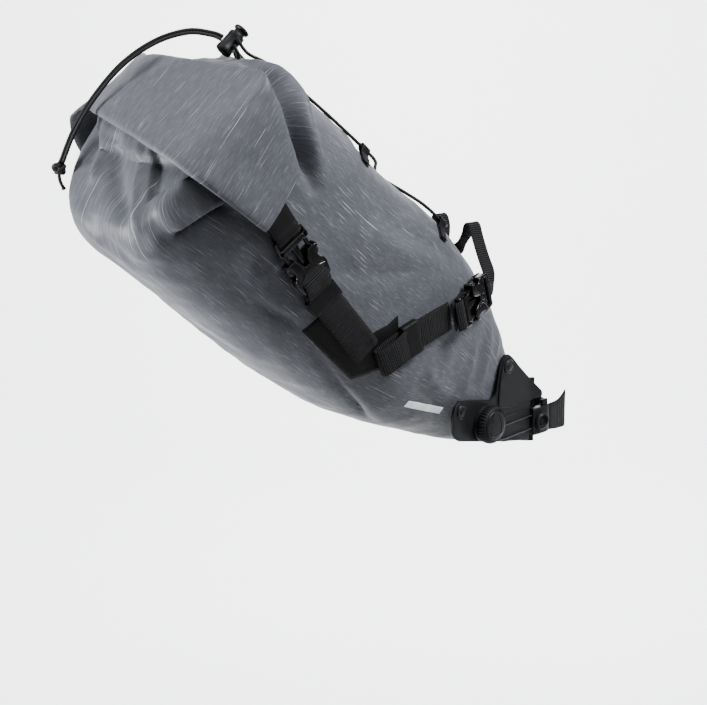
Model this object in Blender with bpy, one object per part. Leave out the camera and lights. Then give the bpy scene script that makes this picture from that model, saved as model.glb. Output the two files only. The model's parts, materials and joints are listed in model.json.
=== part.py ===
"""Bikepacking saddle bag with a roll-top mouth, side straps, bungee and a dial-tightened post clamp.

Metres, +Z up along the seatpost. The origin is on the seatpost's axis at the clamp's mid height.
The bag runs back along -X and rises; -Y is the bike's right side, where the dial is.
"""

import math

import bmesh
import bpy
from mathutils import Matrix, Vector
from mathutils.bvhtree import BVHTree

MM = 0.001
GAP = 0.3 * MM
SIDES = ((-1, "right"), (1, "left"))

# Driving dimensions
POST_RADIUS = 15.8 * MM
WALL = 1.6 * MM
SECTION_POWER = 2.8
SECTION_POINTS = 28
WEBBING = 25 * MM
WEBBING_THICK = 1.8 * MM
CLAMP_BOTTOM = -12 * MM
DIAL_RADIUS = 16 * MM

# Bag sections from the post to the mouth, in mm: bottom x, z, top x, z, half width
BAG_SECTIONS = (
    (-24, -10, -24, 38, 15),
    (-48, -8, -36, 74, 24),
    (-85, -2, -50, 108, 34.5),
    (-122, 11, -73, 146, 46),
    (-160, 24, -100, 180, 58),
    (-200, 40, -132, 210, 67),
    (-240, 63, -167, 235, 73),
    (-284, 94, -203, 269, 77),
    (-330, 132, -240, 304, 80),
    (-374, 170, -276, 333, 81),
    (-408, 200, -304, 339, 81),
    (-418, 224, -324, 338, 80),
    (-406, 250, -335, 329, 77),
    (-390, 271, -340, 322, 72),
)

# Roll-top band on each side from its middle to its end, in mm: upper x, y, z, lower x, y, z, thickness
ROLL_RIGHT = (
    (-334, 0, 340, -390, 0, 289, 9),
    (-326, 40, 340.5, -395, 40, 284, 9),
    (-320, 64, 341, -394, 68, 278, 9),
    (-319, 78, 341, -390, 80, 271.5, 9),
    (-320, 86, 337, -383, 88, 264.5, 8.5),
    (-315, 89.5, 322, -371, 91, 255, 8),
    (-306, 90, 298, -354, 90.5, 242, 7.5),
    (-294, 89, 260, -323, 89, 222, 7),
)
ROLL_LEFT = (
    (-333, 40, 339, -385, 40, 293, 9),
    (-331, 66, 337, -378, 68, 294, 9),
    (-322, 84, 337, -377, 86, 295, 8.5),
    (-312, 89.5, 328, -388, 93, 288, 8),
    (-304, 90, 305, -376, 92, 256, 7.5),
    (-294, 89, 260, -323, 89, 222, 7),
)
ROLL_WALL = 2.2 * MM
STIFFENER_WIDTH = 24 * MM
STIFFENER_THICK = 1.2 * MM


def clear_scene():
    for obj in list(bpy.data.objects):
        bpy.data.objects.remove(obj)


def material(name, colour, roughness, metallic=0.0):
    made = bpy.data.materials.new(name)
    made.use_nodes = True
    shader = made.node_tree.nodes["Principled BSDF"]
    shader.inputs["Base Color"].default_value = (*colour, 1.0)
    shader.inputs["Roughness"].default_value = roughness
    shader.inputs["Metallic"].default_value = metallic
    made.diffuse_color = (*colour, 1.0)
    return made


def add_mesh(name, points, faces, look, smooth=True):
    """One object from points and faces, with its normals made to point out."""
    mesh = bpy.data.meshes.new(name)
    mesh.from_pydata([tuple(point) for point in points], [], faces)
    shape = bmesh.new()
    shape.from_mesh(mesh)
    bmesh.ops.recalc_face_normals(shape, faces=shape.faces)
    if shape.calc_volume(signed=True) < 0:
        bmesh.ops.reverse_faces(shape, faces=shape.faces)
    shape.to_mesh(mesh)
    shape.free()
    mesh.materials.append(look)
    if smooth:
        mesh.shade_smooth()
        mesh.set_sharp_from_angle(angle=math.radians(40))
    obj = bpy.data.objects.new(name, mesh)
    bpy.context.scene.collection.objects.link(obj)
    return obj


def loft(rings, close_ends=True, close_round=False):
    """Points and faces of a skin through rings of equal point counts."""
    count = len(rings[0])
    points = [point for ring in rings for point in ring]
    faces = []
    pairs = len(rings) if close_round else len(rings) - 1
    for i in range(pairs):
        low = i * count
        high = ((i + 1) % len(rings)) * count
        for j in range(count):
            k = (j + 1) % count
            faces.append((low + j, low + k, high + k, high + j))
    if close_ends and not close_round:
        faces.append(tuple(range(count - 1, -1, -1)))
        faces.append(tuple(range(len(points) - count, len(points))))
    return points, faces


def add_loft(name, rings, look, smooth=True, close_round=False):
    """One object skinned through rings."""
    return add_mesh(name, *loft(rings, close_round=close_round), look, smooth)


def box_points(low, high):
    """The box's two end rings, from its lowest corner to its highest."""
    return [
        [Vector((x, low[1], low[2])), Vector((x, high[1], low[2])),
         Vector((x, high[1], high[2])), Vector((x, low[1], high[2]))]
        for x in (low[0], high[0])
    ]


def turned(name, profile, place, look, segments=24):
    """A solid of revolution. The profile is closed: (radius, height) pairs in mm about local Z."""
    rings = []
    for i in range(segments):
        angle = 2 * math.pi * i / segments
        rings.append([
            place @ (Vector((r * math.cos(angle), r * math.sin(angle), h)) * MM) for r, h in profile
        ])
    points, faces = loft(rings, close_round=True)
    obj = add_mesh(name, points, faces, look)
    weld_mesh(obj.data)
    return obj


def weld_mesh(mesh, within=0.005 * MM):
    """Joins the points that a turned profile repeats on its axis."""
    shape = bmesh.new()
    shape.from_mesh(mesh)
    bmesh.ops.remove_doubles(shape, verts=shape.verts, dist=within)
    bmesh.ops.dissolve_degenerate(shape, edges=shape.edges, dist=within)
    bmesh.ops.recalc_face_normals(shape, faces=shape.faces)
    if shape.calc_volume(signed=True) < 0:
        bmesh.ops.reverse_faces(shape, faces=shape.faces)
    shape.to_mesh(mesh)
    shape.free()


def boolean(obj, cutter, operation="DIFFERENCE"):
    """Cuts the cutter out of an object, or joins it on, and leaves the cutter out of the model."""
    cut = obj.modifiers.new(cutter.name, "BOOLEAN")
    cut.operation = operation
    cut.solver = "EXACT"
    cut.object = cutter
    cutter.hide_render = True
    cutter.display_type = "WIRE"


def frame_at(origin, up, along):
    """A placing matrix whose Z is up and whose X is along, made square to it."""
    z = Vector(up).normalized()
    x = (Vector(along) - z * Vector(along).dot(z)).normalized()
    y = z.cross(x)
    place = Matrix((x, y, z)).transposed().to_4x4()
    place.translation = Vector(origin)
    return place


def smooth_path(points, steps):
    """Points along a Catmull-Rom curve through the given points."""
    ends = [2 * points[0] - points[1], *points, 2 * points[-1] - points[-2]]
    found = []
    for i in range(1, len(ends) - 2):
        before, start, end, after = ends[i - 1 : i + 3]
        for step in range(steps):
            t = step / steps
            found.append(0.5 * (
                2 * start + (end - before) * t
                + (2 * before - 5 * start + 4 * end - after) * t * t
                + (3 * start - before - 3 * end + after) * t * t * t
            ))
    return [*found, points[-1].copy()]


def ribbon(name, path, across, width, thickness, look):
    """Flat webbing along a path. Each across vector lies in the webbing's face, square to the path."""
    rings = []
    for i, point in enumerate(path):
        before = path[max(i - 1, 0)]
        after = path[min(i + 1, len(path) - 1)]
        tangent = (after - before).normalized()
        wide = (across[i] - tangent * across[i].dot(tangent)).normalized()
        out = wide.cross(tangent).normalized()
        half = wide * width / 2
        rise = out * thickness / 2
        rings.append([point - half - rise, point + half - rise,
                      point + half + rise, point - half + rise])
    return add_loft(name, rings, look, smooth=False)


def laid_across(path, normals):
    """Across vectors of webbing that lies on a surface with these normals."""
    found = []
    for i, normal in enumerate(normals):
        tangent = path[min(i + 1, len(path) - 1)] - path[max(i - 1, 0)]
        found.append(normal.cross(tangent).normalized())
    return found


def sleeve(name, place, length, outer, inner, look):
    """A flat loop of tape round a strap that runs along local X. Sizes are across and through."""
    rings = []
    for end, (wide, deep) in ((-1, outer), (1, outer), (1, inner), (-1, inner)):
        rings.append([place @ Vector((end * length / 2, wide / 2 * u, deep / 2 * v))
                      for u, v in ((1, 1), (-1, 1), (-1, -1), (1, -1))])
    return add_loft(name, rings, look, smooth=False, close_round=True)


def block(name, place, low, high, look):
    """A box between two corners in mm, in the placing matrix's frame."""
    corners = box_points(Vector(low) * MM, Vector(high) * MM)
    return add_loft(name, [[place @ point for point in ring] for ring in corners], look, smooth=False)


def cord(name, path, radius, look, resolution=2):
    """A round cord or wire along a path."""
    curve = bpy.data.curves.new(name, "CURVE")
    curve.dimensions = "3D"
    curve.bevel_depth = radius
    curve.bevel_resolution = resolution
    curve.use_fill_caps = True
    spline = curve.splines.new("POLY")
    spline.points.add(len(path) - 1)
    for spot, point in zip(spline.points, path):
        spot.co = (*point, 1.0)
    curve.materials.append(look)
    obj = bpy.data.objects.new(name, curve)
    bpy.context.scene.collection.objects.link(obj)
    return obj


# ---------------------------------------------------------------- the bag's fabric body


def bag_ring(section, inset=0.0):
    """A rounded box section between a bottom and a top point, smaller by the inset all round."""
    bottom_x, bottom_z, top_x, top_z, half_width = (value * MM for value in section)
    bottom = Vector((bottom_x, 0, bottom_z))
    top = Vector((top_x, 0, top_z))
    centre = (bottom + top) / 2
    up = (top - bottom).normalized()
    half_height = (top - bottom).length / 2 - inset
    ring = []
    for i in range(SECTION_POINTS):
        angle = 2 * math.pi * (i + 0.5) / SECTION_POINTS
        across = math.copysign(abs(math.cos(angle)) ** (2 / SECTION_POWER), math.cos(angle))
        rise = math.copysign(abs(math.sin(angle)) ** (2 / SECTION_POWER), math.sin(angle))
        side = Vector((0, across * (half_width - inset), 0))
        ring.append(centre + up * rise * half_height + side)
    return ring


def shifted(ring, distance):
    """The ring moved along X."""
    return [point + Vector((distance, 0, 0)) for point in ring]


def make_bag_shell(look):
    """Outer skin, mouth rim and inner skin in one closed wall, open at the mouth."""
    outer = [bag_ring(section) for section in BAG_SECTIONS]
    inner = [bag_ring(section, WALL) for section in BAG_SECTIONS]
    inner[0] = shifted(inner[0], -WALL)
    rings = outer + inner[::-1]
    return add_loft("bag_shell", rings, look)


def skin_tree(obj):
    """A tree for finding where rays meet the object's mesh."""
    shape = bmesh.new()
    shape.from_mesh(obj.data)
    tree = BVHTree.FromBMesh(shape)
    shape.free()
    return tree


class BagSkin:
    """Finds places on the bag's outer skin."""

    def __init__(self, shell):
        self.tree = skin_tree(shell)

    def side(self, x, z, side, lift):
        """The point on the side wall at x and z in mm, lifted off it, and the wall's normal."""
        start = Vector((x * MM, side * 0.3, z * MM))
        spot, normal, _, _ = self.tree.ray_cast(start, Vector((0, -side, 0)))
        return spot + normal * lift, normal

    def top(self, x, y, lift):
        """The point on the top wall at x and y in mm, lifted off it, and the wall's normal."""
        start = Vector((x * MM, y * MM, 0.6))
        spot, normal, _, _ = self.tree.ray_cast(start, Vector((0, 0, -1)))
        return spot + normal * lift, normal


def make_base_stiffener(look):
    """A plastic sheet lying inside the bag along its floor and bent to it."""
    first = round(SECTION_POINTS * 0.65)
    last = round(SECTION_POINTS * 0.85)
    rings = []
    for section in BAG_SECTIONS[2:11]:
        low = bag_ring(section, WALL + 0.5 * MM)[first:last]
        high = bag_ring(section, WALL + 2.0 * MM)[first:last]
        rings.append(low + high[::-1])
    return add_loft("base_stiffener", rings, look, smooth=False)


# ---------------------------------------------------------------- roll-top closure


def roll_ring(section, side, inset=0.0):
    """A flattened loop between the band's upper and lower edge, its inner face on the bag."""
    upper = Vector((section[0], section[1] * side, section[2])) * MM
    lower = Vector((section[3], section[4] * side, section[5])) * MM
    thick = section[6] * MM / 2 - inset
    reach = (upper - lower).length / 2 - inset
    across = (upper - lower).normalized()
    centre = (upper + lower) / 2
    # The band faces up and back in its middle and outwards on the bag's sides.
    turn = min(max((abs(section[1]) - 40) / 48, 0.0), 1.0)
    facing = Vector((-0.70, 0, 0.71)).lerp(Vector((0.0, side, 0.0)), turn)
    out = (facing - across * facing.dot(across)).normalized()
    ring = []
    for u, v in ((1, 0), (0.93, 0.7), (0.5, 1), (-0.5, 1), (-0.93, 0.7),
                 (-1, 0), (-0.93, -0.7), (-0.5, -1), (0.5, -1), (0.93, -0.7)):
        ring.append(centre + across * reach * u + out * thick * (v + 1.0))
    return ring if inset == 0 else [point + out * inset for point in ring]


def make_roll_top(look):
    """The rolled mouth as one hollow band, pulled down the bag's sides at its ends."""
    surfaces = []
    for inset in (0.0, ROLL_WALL):
        right = [roll_ring(section, -1, inset) for section in ROLL_RIGHT]
        left = [roll_ring(section, 1, inset) for section in ROLL_LEFT]
        surfaces.append(right[::-1] + left)
    outer, inner = surfaces
    return add_loft("roll_top", outer + inner[::-1], look, close_round=True)


def make_roll_stiffener(look):
    """The stiff strip in the mouth's edge, which the fabric is rolled round."""
    rings = []
    right = [roll_ring(section, -1) for section in ROLL_RIGHT[:3]]
    left = [roll_ring(section, 1) for section in ROLL_LEFT[:2]]
    for ring in right[::-1] + left:
        centre = sum(ring, Vector()) / len(ring)
        across = (ring[0] - ring[5]).normalized() * STIFFENER_WIDTH / 2
        out = (ring[2] - ring[8]).normalized() * STIFFENER_THICK / 2
        rings.append([centre + across * u + out * v for u, v in ((1, 1), (-1, 1), (-1, -1), (1, -1))])
    return add_loft("roll_stiffener", rings, look, smooth=False)


# ---------------------------------------------------------------- post clamp

# The wing's outline in mm: x, inner face y, lower edge z, upper edge z
WING_SECTIONS = (
    (-121, 49.5, 22, 36),
    (-118, 48.8, 17, 44),
    (-112, 47.0, 13, 48),
    (-92, 41.0, 8, 44),
    (-68, 35.0, 2, 39),
    (-63, 33.8, 1, 43),
    (-58, 32.6, 0, 66),
    (-52, 31.0, -2, 75),
    (-45, 29.2, -3, 74),
    (-40, 27.8, -4, 70),
    (-30, 25.2, -6, 60),
    (-15.5, 21.4, -9, 46.5),
    (-14.5, 21.3, 27, 45.5),
    (0, 19.9, 27, 32.5),
)
WING_THICK = 3 * MM
CRADLE_INNER = POST_RADIUS + 2.8 * MM
CRADLE_OUTER = POST_RADIUS + 6.2 * MM
CRADLE_TOP = 45 * MM
PAD_THICK = 2.5 * MM
PAD_TOP = 40 * MM


def make_wing(name, side, look):
    """The bracket's wing along one side of the bag."""
    rings = []
    for x, y, low, high in WING_SECTIONS:
        inner = y * MM
        outer = inner + WING_THICK
        rings.append([Vector((x * MM, y_side * side, z * MM)) for y_side, z in
                      ((inner, low), (outer, low), (outer, high), (inner, high))])
    return add_loft(name, rings, look, smooth=False)


def arc_points(radius, start, end, steps):
    """Points about the post's axis, with the angles in degrees."""
    return [
        Vector((radius * math.cos(math.radians(start + (end - start) * i / steps)),
                radius * math.sin(math.radians(start + (end - start) * i / steps)), 0))
        for i in range(steps + 1)
    ]


def arc_band(name, inner, outer, start, end, low, high, steps, look):
    """Part of a ring about the post."""
    rings = []
    for near, far in zip(arc_points(inner, start, end, steps), arc_points(outer, start, end, steps)):
        rings.append([near + Vector((0, 0, low)), far + Vector((0, 0, low)),
                      far + Vector((0, 0, high)), near + Vector((0, 0, high))])
    return add_loft(name, rings, look)


def wing_y(x):
    """The wing's inner face at x in mm."""
    for (x0, y0, _, _), (x1, y1, _, _) in zip(WING_SECTIONS, WING_SECTIONS[1:]):
        if x0 <= x <= x1:
            return y0 + (y1 - y0) * (x - x0) / (x1 - x0)
    return WING_SECTIONS[-1][1]


RIVETS = {"upper": (-48, 64), "lower": (-110, 38)}
HEAD_RADIUS = 6.2
BURR_RADIUS = 5.5
BURR_THICK = 1.4
SHANK_RADIUS = 2.2
DRILL_RADIUS = 2.5


def wing_out(x, side):
    """The direction square to the wing's face at x in mm."""
    slope = (wing_y(x + 2) - wing_y(x - 2)) / 4
    return Vector((-slope, side, 0)).normalized()


def rivet_place(spot, side):
    """The rivet's axis: through the wing, square to its face, pointing out."""
    x, z = spot
    out = wing_out(x, side)
    outer = Vector((x * MM, side * wing_y(x) * MM, z * MM)) + out * WING_THICK
    return frame_at(outer, out, (0, 0, 1))


def make_clamp(looks):
    """The cradle behind the post with its two wings, and the pad that lines it."""
    bracket = arc_band("post_bracket", CRADLE_INNER, CRADLE_OUTER, 110, 250, CLAMP_BOTTOM, CRADLE_TOP,
                       12, looks["moulded"])
    for side, side_name in SIDES:
        wing = make_wing(f"wing_{side_name}", side, looks["moulded"])
        boolean(bracket, wing, "UNION")
    arc_band("grip_pad", POST_RADIUS, POST_RADIUS + PAD_THICK, 112, 248, CLAMP_BOTTOM + 1 * MM, PAD_TOP,
             12, looks["rubber"])
    return bracket


def make_rivets(bracket, shell, looks):
    """Rivets through the wings and the fabric, each with a head outside and a burr inside."""
    gap = GAP / MM
    for side, side_name in SIDES:
        for level, spot in RIVETS.items():
            place = rivet_place(spot, side)
            depth = rivet_depth(shell, place) / MM
            profile = [(0, -depth - BURR_THICK), (BURR_RADIUS, -depth - BURR_THICK), (BURR_RADIUS, -depth),
                       (SHANK_RADIUS, -depth), (SHANK_RADIUS, gap), (HEAD_RADIUS, gap),
                       (6.0, 1.2), (4.4, 2.2), (0, 2.6)]
            turned(f"rivet_{side_name}_{level}", profile, place, looks["rivet"], 20)
            drill = [(0, -depth - 3), (DRILL_RADIUS, -depth - 3), (DRILL_RADIUS, 3), (0, 3)]
            cutter = turned(f"drill_{side_name}_{level}", drill, place, looks["rivet"], 12)
            boolean(bracket, cutter)
            boolean(shell, cutter)


def rivet_depth(shell, place):
    """How far the bag's inner face lies behind the wing's outer face, at its deepest under the burr."""
    tree = skin_tree(shell)
    inward = -(place.to_3x3() @ Vector((0, 0, 1)))
    deepest = 0
    for i in range(12):
        angle = 2 * math.pi * i / 12
        start = place @ Vector((5.7 * MM * math.cos(angle), 5.7 * MM * math.sin(angle), 0))
        spot, _, _, distance = tree.ray_cast(start, inward)
        _, _, _, wall = tree.ray_cast(spot + inward * 0.2 * MM, inward)
        deepest = max(deepest, distance + wall + 0.2 * MM)
    return deepest + GAP


DIAL_SPOT = (-78, 21)


def make_dial(looks):
    """Base, ratchet housing, spool, knob, badge and screw, all on one axis on the right wing."""
    x, z = DIAL_SPOT
    out = wing_out(x, -1)
    foot = Vector((x * MM, -wing_y(x) * MM, z * MM)) + out * (WING_THICK + GAP)
    place = frame_at(foot, out, (0, 0, 1))
    knob_radius = DIAL_RADIUS / MM
    housing = [(0, 0), (15.2, 0), (15.2, 2.4), (12.6, 3.2), (12.6, 5.6), (10.6, 5.6), (10.6, 1.6),
               (3.2, 1.6), (3.2, 2.2), (0, 2.2)]
    turned("dial_housing", housing, place, looks["moulded"], 32)
    spool = [(3.4, 2.6), (10.2, 2.6), (10.2, 3.2), (8.2, 3.4), (8.2, 4.8), (10.2, 5.0), (10.2, 5.6),
             (3.4, 5.6)]
    turned("lace_spool", spool, place, looks["moulded"], 24)
    knob = [(3.4, 6.0), (12.9, 6.0), (12.9, 3.6), (knob_radius, 3.6), (knob_radius, 9.6), (14.6, 11.2),
            (13.4, 11.2), (13.4, 9.4), (3.4, 9.4)]
    turned("dial_knob", knob, place, looks["rubber"], 40)
    screw = [(0, 2.5), (3.1, 2.5), (3.1, 9.7), (0, 9.7)]
    turned("dial_screw", screw, place, looks["rivet"], 16)
    cap = [(0, 10.0), (13.0, 10.0), (13.0, 11.4), (11.8, 12.2), (0, 12.4)]
    turned("dial_cap", cap, place, looks["moulded"], 32)
    for name in ("lace_spool", "dial_knob", "dial_screw", "dial_cap"):
        set_origin(bpy.data.objects[name], place.translation)


BAND_HEIGHT = 7 * MM
BAND_WIDTH = 24 * MM
BAND_THICK = 2.0 * MM


def make_post_strap(looks):
    """The band from the left wing round the post's front, and the catch and tab at its free end."""
    radius = POST_RADIUS + 1.2 * MM
    stand_off = WING_THICK + GAP + 1.1 * MM
    anchor = [Vector((x * MM, wing_y(x) * MM + stand_off, 0)) for x in (-44, -32, -22)]
    bend = [Vector((-12, 25.6, 0)) * MM, Vector((-2, 23.8, 0)) * MM]
    route = anchor + bend + arc_points(radius, 66, -84, 16)
    route = [point + Vector((0, 0, BAND_HEIGHT)) for point in route]
    ribbon("post_strap", route, [Vector((0, 0, 1))] * len(route), BAND_WIDTH, BAND_THICK, looks["tpu"])


# The catch's outline seen from above and the tab's sections, in mm: x, y, low z, high z
CATCH_HINGE = Vector((9.5, -19.6, 7)) * MM
CATCH_OUTLINE = ((-13.6, -19.4), (-8, -21.4), (-6.6, -21.4), (-6.0, -19.2), (5, -18.6), (9.3, -18.6),
                 (9.3, -21.5), (4, -24.6), (-6, -26.6), (-13.6, -27.2))
CATCH_LOW = -5
CATCH_HIGH = 19
BOSS_PROFILE = ((0, 0), (6.6, 0), (7.2, 2.6), (5.4, 3.6), (4.6, 1.6), (0, 1.2))
TAB_SECTIONS = ((9.6, -21.3, -5, 19), (16, -19.8, -6, 19), (24, -17.4, -7, 20), (31, -14.6, -8, 23),
                (36, -12.2, -8, 26))
TAB_NEAR = 0.3
TAB_FAR = 2.5


def make_catch(looks):
    """The hook body at the strap's free end and the tab that swings it off."""
    rings = [[Vector((x, y, z)) * MM for x, y in CATCH_OUTLINE] for z in (CATCH_LOW, CATCH_HIGH)]
    catch = add_loft("strap_catch", rings, looks["moulded"], smooth=False)
    boss_place = frame_at(Vector((-4, -25.6, 7)) * MM, (0.1, -1, 0), (0, 0, 1))
    boss = turned("catch_boss", BOSS_PROFILE, boss_place, looks["moulded"], 24)
    boolean(catch, boss, "UNION")
    tab_rings = []
    for x, y, low, high in TAB_SECTIONS:
        corners = ((TAB_NEAR, low), (TAB_FAR, low), (TAB_FAR, high), (TAB_NEAR, high))
        tab_rings.append([Vector((x, y + dy, z)) * MM for dy, z in corners])
    tab = add_loft("pull_tab", tab_rings, looks["rubber"], smooth=False)
    for piece in (catch, tab):
        set_origin(piece, CATCH_HINGE)


def make_lace(looks):
    """The two runs of steel lace from the housing's ports to the catch."""
    for name, z in (("tension_lace_upper", 13), ("tension_lace_lower", 1)):
        route = []
        for x in (-59.5, -50, -40, -30, -22, -16):
            y = -(wing_y(x) * MM + WING_THICK + 1.0 * MM)
            route.append(Vector((x * MM, y, z * MM)))
        route.append(Vector((-14.2, -25.3, z)) * MM)
        cord(name, route, 0.6 * MM, looks["lace"])


# ---------------------------------------------------------------- side-release buckles

# Lengths in mm along and across the buckle
BUCKLE_HALF = 25
PRONG_OUTLINE = ((-11.7, 9.5), (-11.7, 12.5), (-1.5, 13.0), (0.5, 16.4), (5.5, 15.2), (9.0, 11.0), (6.0, 9.8))
PRONG_ROOT = (-11.7, 11.0)
PRONG_HALF_THICK = 2.2


def make_buckle(name, place, looks):
    """A 25 mm side-release buckle along local X: male half with two sprung prongs, and female half."""
    look = looks["buckle"]
    male = block(f"{name}_male", place, (-BUCKLE_HALF, -15, -3), (-12, 15, 3), look)
    boolean(male, block(f"{name}_male_slot", place, (-22, -13, -5), (-17, 13, 5), look))
    boolean(male, block(f"{name}_guide", place, (-13, -2, -1.5), (6, 2, 1.5), look), "UNION")
    for side, side_name in ((-1, "a"), (1, "b")):
        rings = [[place @ (Vector((x, y * side, height)) * MM) for x, y in PRONG_OUTLINE]
                 for height in (-PRONG_HALF_THICK, PRONG_HALF_THICK)]
        prong = add_loft(f"{name}_prong_{side_name}", rings, look, smooth=False)
        set_origin(prong, place @ (Vector((PRONG_ROOT[0], PRONG_ROOT[1] * side, 0)) * MM))
    female = block(f"{name}_female", place, (-4, -16.5, -4.2), (BUCKLE_HALF, 16.5, 4.2), look)
    boolean(female, block(f"{name}_pocket", place, (-5, -14.5, -2.8), (12, 14.5, 2.8), look))
    boolean(female, block(f"{name}_windows", place, (-0.8, -20, -2.8), (10, 20, 2.8), look))
    boolean(female, block(f"{name}_female_slot", place, (16, -13, -6), (21, 13, 6), look))


def set_origin(obj, origin):
    """Moves an object's origin to a point and leaves its mesh where it is."""
    obj.data.transform(Matrix.Translation(-origin))
    obj.location = origin


# ---------------------------------------------------------------- side straps

# Places in mm, x and z on the side walls
CLOSURE_BUCKLE = ((-293, 199), (0.555, -0.832))
CLOSURE_STRAP = ((-277.6, 176.2), (-268, 164), (-252, 146), (-237, 129), (-223, 113))
RAIL_BUCKLE = ((-109, 133.5), (0.968, 0.25))
RAIL_STRAP = ((-208, 103), (-190, 112), (-172, 118), (-152, 123.5), (-135, 127.5))
PATCH = (((-281, 137), (-268, 148)), ((-256, 113), (-243, 132)), ((-230, 89), (-223, 124)),
         ((-217, 91.5), (-212, 128)), ((-204, 94), (-201, 131)), ((-187, 101), (-191, 137)))
PATCH_UNDER = 1.25 * MM
PATCH_OVER = 2.35 * MM
STRAP_LIFT = 4.6 * MM
BUCKLE_LIFT = 6.5 * MM
KEEPER_LENGTH = 14 * MM
KEEPER_OUTER = (30 * MM, 7.6 * MM)
KEEPER_INNER = (27 * MM, 5.4 * MM)
KEEPER_DIRECTION = (0.62, -0.78)
TAB_WIDTH = 24 * MM
TAB_START = (-312.2, 94, 228.6)
LOOP_WIDTH = 12 * MM
RAIL_LOOP = ((-83, 13, 172), (-79.5, 16, 181), (-79.5, 18, 187), (-79.5, 20.5, 189.6), (-79.5, 23.5, 189.6),
             (-79.5, 26, 187), (-79.5, 29, 180), (-79.5, 37, 165), (-79.5, 45, 152))


def surface_frame(skin, spot, direction, side, lift):
    """A placing matrix on the side wall: Z out of the wall and X along the direction."""
    origin, normal = skin.side(*spot, side, lift)
    return frame_at(origin, normal, (direction[0], 0, direction[1]))


def make_strap(name, spots, side, skin, looks):
    """Doubled webbing along spots on one side wall."""
    laid = [skin.side(x, z, side, STRAP_LIFT) for x, z in spots]
    path = smooth_path([spot for spot, _ in laid], 2)
    normals = smooth_path([normal for _, normal in laid], 2)
    ribbon(name, path, laid_across(path, normals), WEBBING, 2 * WEBBING_THICK, looks["webbing"])


def make_patch(side, side_name, skin, looks):
    """The coated patch that the straps are sewn to."""
    rings = []
    for lower, upper in PATCH:
        rung = [Vector(lower).lerp(Vector(upper), step / 4) for step in range(5)]
        under = [skin.side(*spot, side, PATCH_UNDER)[0] for spot in rung]
        over = [skin.side(*spot, side, PATCH_OVER)[0] for spot in rung]
        rings.append(under + over[::-1])
    add_loft(f"side_patch_{side_name}", rings, looks["tpu"], smooth=False)


def make_closure(side, side_name, skin, looks):
    """Strap, keeper, buckle and sewn tab that hold one end of the rolled mouth down."""
    place = surface_frame(skin, *CLOSURE_BUCKLE, side, BUCKLE_LIFT)
    make_buckle(f"closure_{side_name}", place, looks)
    make_strap(f"closure_strap_{side_name}", CLOSURE_STRAP, side, skin, looks)
    keeper_place = surface_frame(skin, CLOSURE_STRAP[1], KEEPER_DIRECTION, side, STRAP_LIFT)
    sleeve(f"closure_keeper_{side_name}", keeper_place, KEEPER_LENGTH, KEEPER_OUTER, KEEPER_INNER,
           looks["tpu"])
    start = Vector((TAB_START[0], side * TAB_START[1], TAB_START[2])) * MM
    tab_path = [start] + [place @ (Vector((-BUCKLE_HALF - reach, 0, 0)) * MM) for reach in (6.5, 0.5)]
    tab_across = laid_across(tab_path, [place.to_3x3() @ Vector((0, 0, 1))] * 3)
    ribbon(f"closure_tab_{side_name}", tab_path, tab_across, TAB_WIDTH, WEBBING_THICK, looks["webbing"])


def make_rail_strap(side, side_name, skin, looks):
    """Lower side strap and its buckle."""
    make_buckle(f"rail_{side_name}", surface_frame(skin, *RAIL_BUCKLE, side, BUCKLE_LIFT), looks)
    make_strap(f"rail_strap_{side_name}", RAIL_STRAP, side, skin, looks)


def make_rail_loop(side, side_name, skin, looks):
    """Webbing from the bag's top, over the saddle rail and down to the female buckle half."""
    feet = [skin.top(-88, side * y, 2.6 * MM) for y in (3, 9)]
    route = [spot for spot, _ in feet]
    across = [Vector((0, 1, 0)).cross(normal) for _, normal in feet]
    for x, y, z in RAIL_LOOP:
        route.append(Vector((x, side * y, z)) * MM)
        across.append(Vector((1, 0, 0)))
    buckle = surface_frame(skin, *RAIL_BUCKLE, side, BUCKLE_LIFT)
    end = buckle @ Vector(((BUCKLE_HALF + 6) * MM, 0, 0))
    route.append(end + Vector((0, 0, 5 * MM)))
    across.append(Vector((1, 0, 0)))
    ribbon(f"rail_loop_{side_name}", route, across, LOOP_WIDTH, WEBBING_THICK, looks["webbing"])


# ---------------------------------------------------------------- bungee and cord lock

LOCK_CENTRE = (-302, -5, 352)
LOCK_AXIS = (0.766, 0, 0.643)
SPRING_TURNS = 3
SPRING_STEPS = 10
SPRING_RADIUS = 3.6
SPRING_FOOT = -6.9
SPRING_HEIGHT = 2.0
BUNGEE_RADIUS = 1.4 * MM
# Half the spacing of the doubled tail's strands, beside and above each other
STRANDS_BESIDE = 1.2 * MM
STRANDS_ABOVE = 1.1 * MM
EYE_LIFT = 4.6 * MM
EYE_LENGTH = 6 * MM
EYE_OUTER = 8.4 * MM
EYE_INNER = 6 * MM
EYES = {"rear": (-206, 40), "front": (-127, 36)}
# The free tail's middle line, its knot and its cut end, in mm
TAIL = ((-304, 2.4, 355.5), (-310, 8, 358.5), (-326, 17, 360.5), (-347, 30, 353), (-368, 44, 336),
        (-386, 57, 311), (-399, 66, 286), (-408, 71, 262))
KNOT = (-410.4, 71.8, 255.8)
KNOT_PROFILE = ((0, -4.5), (3.5, -4), (5, 0), (3.5, 4), (0, 4.5))
CUT_END = ((-410.8, 72.3, 250.6), (-409.3, 72.8, 245), (-406, 73.5, 239))


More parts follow.
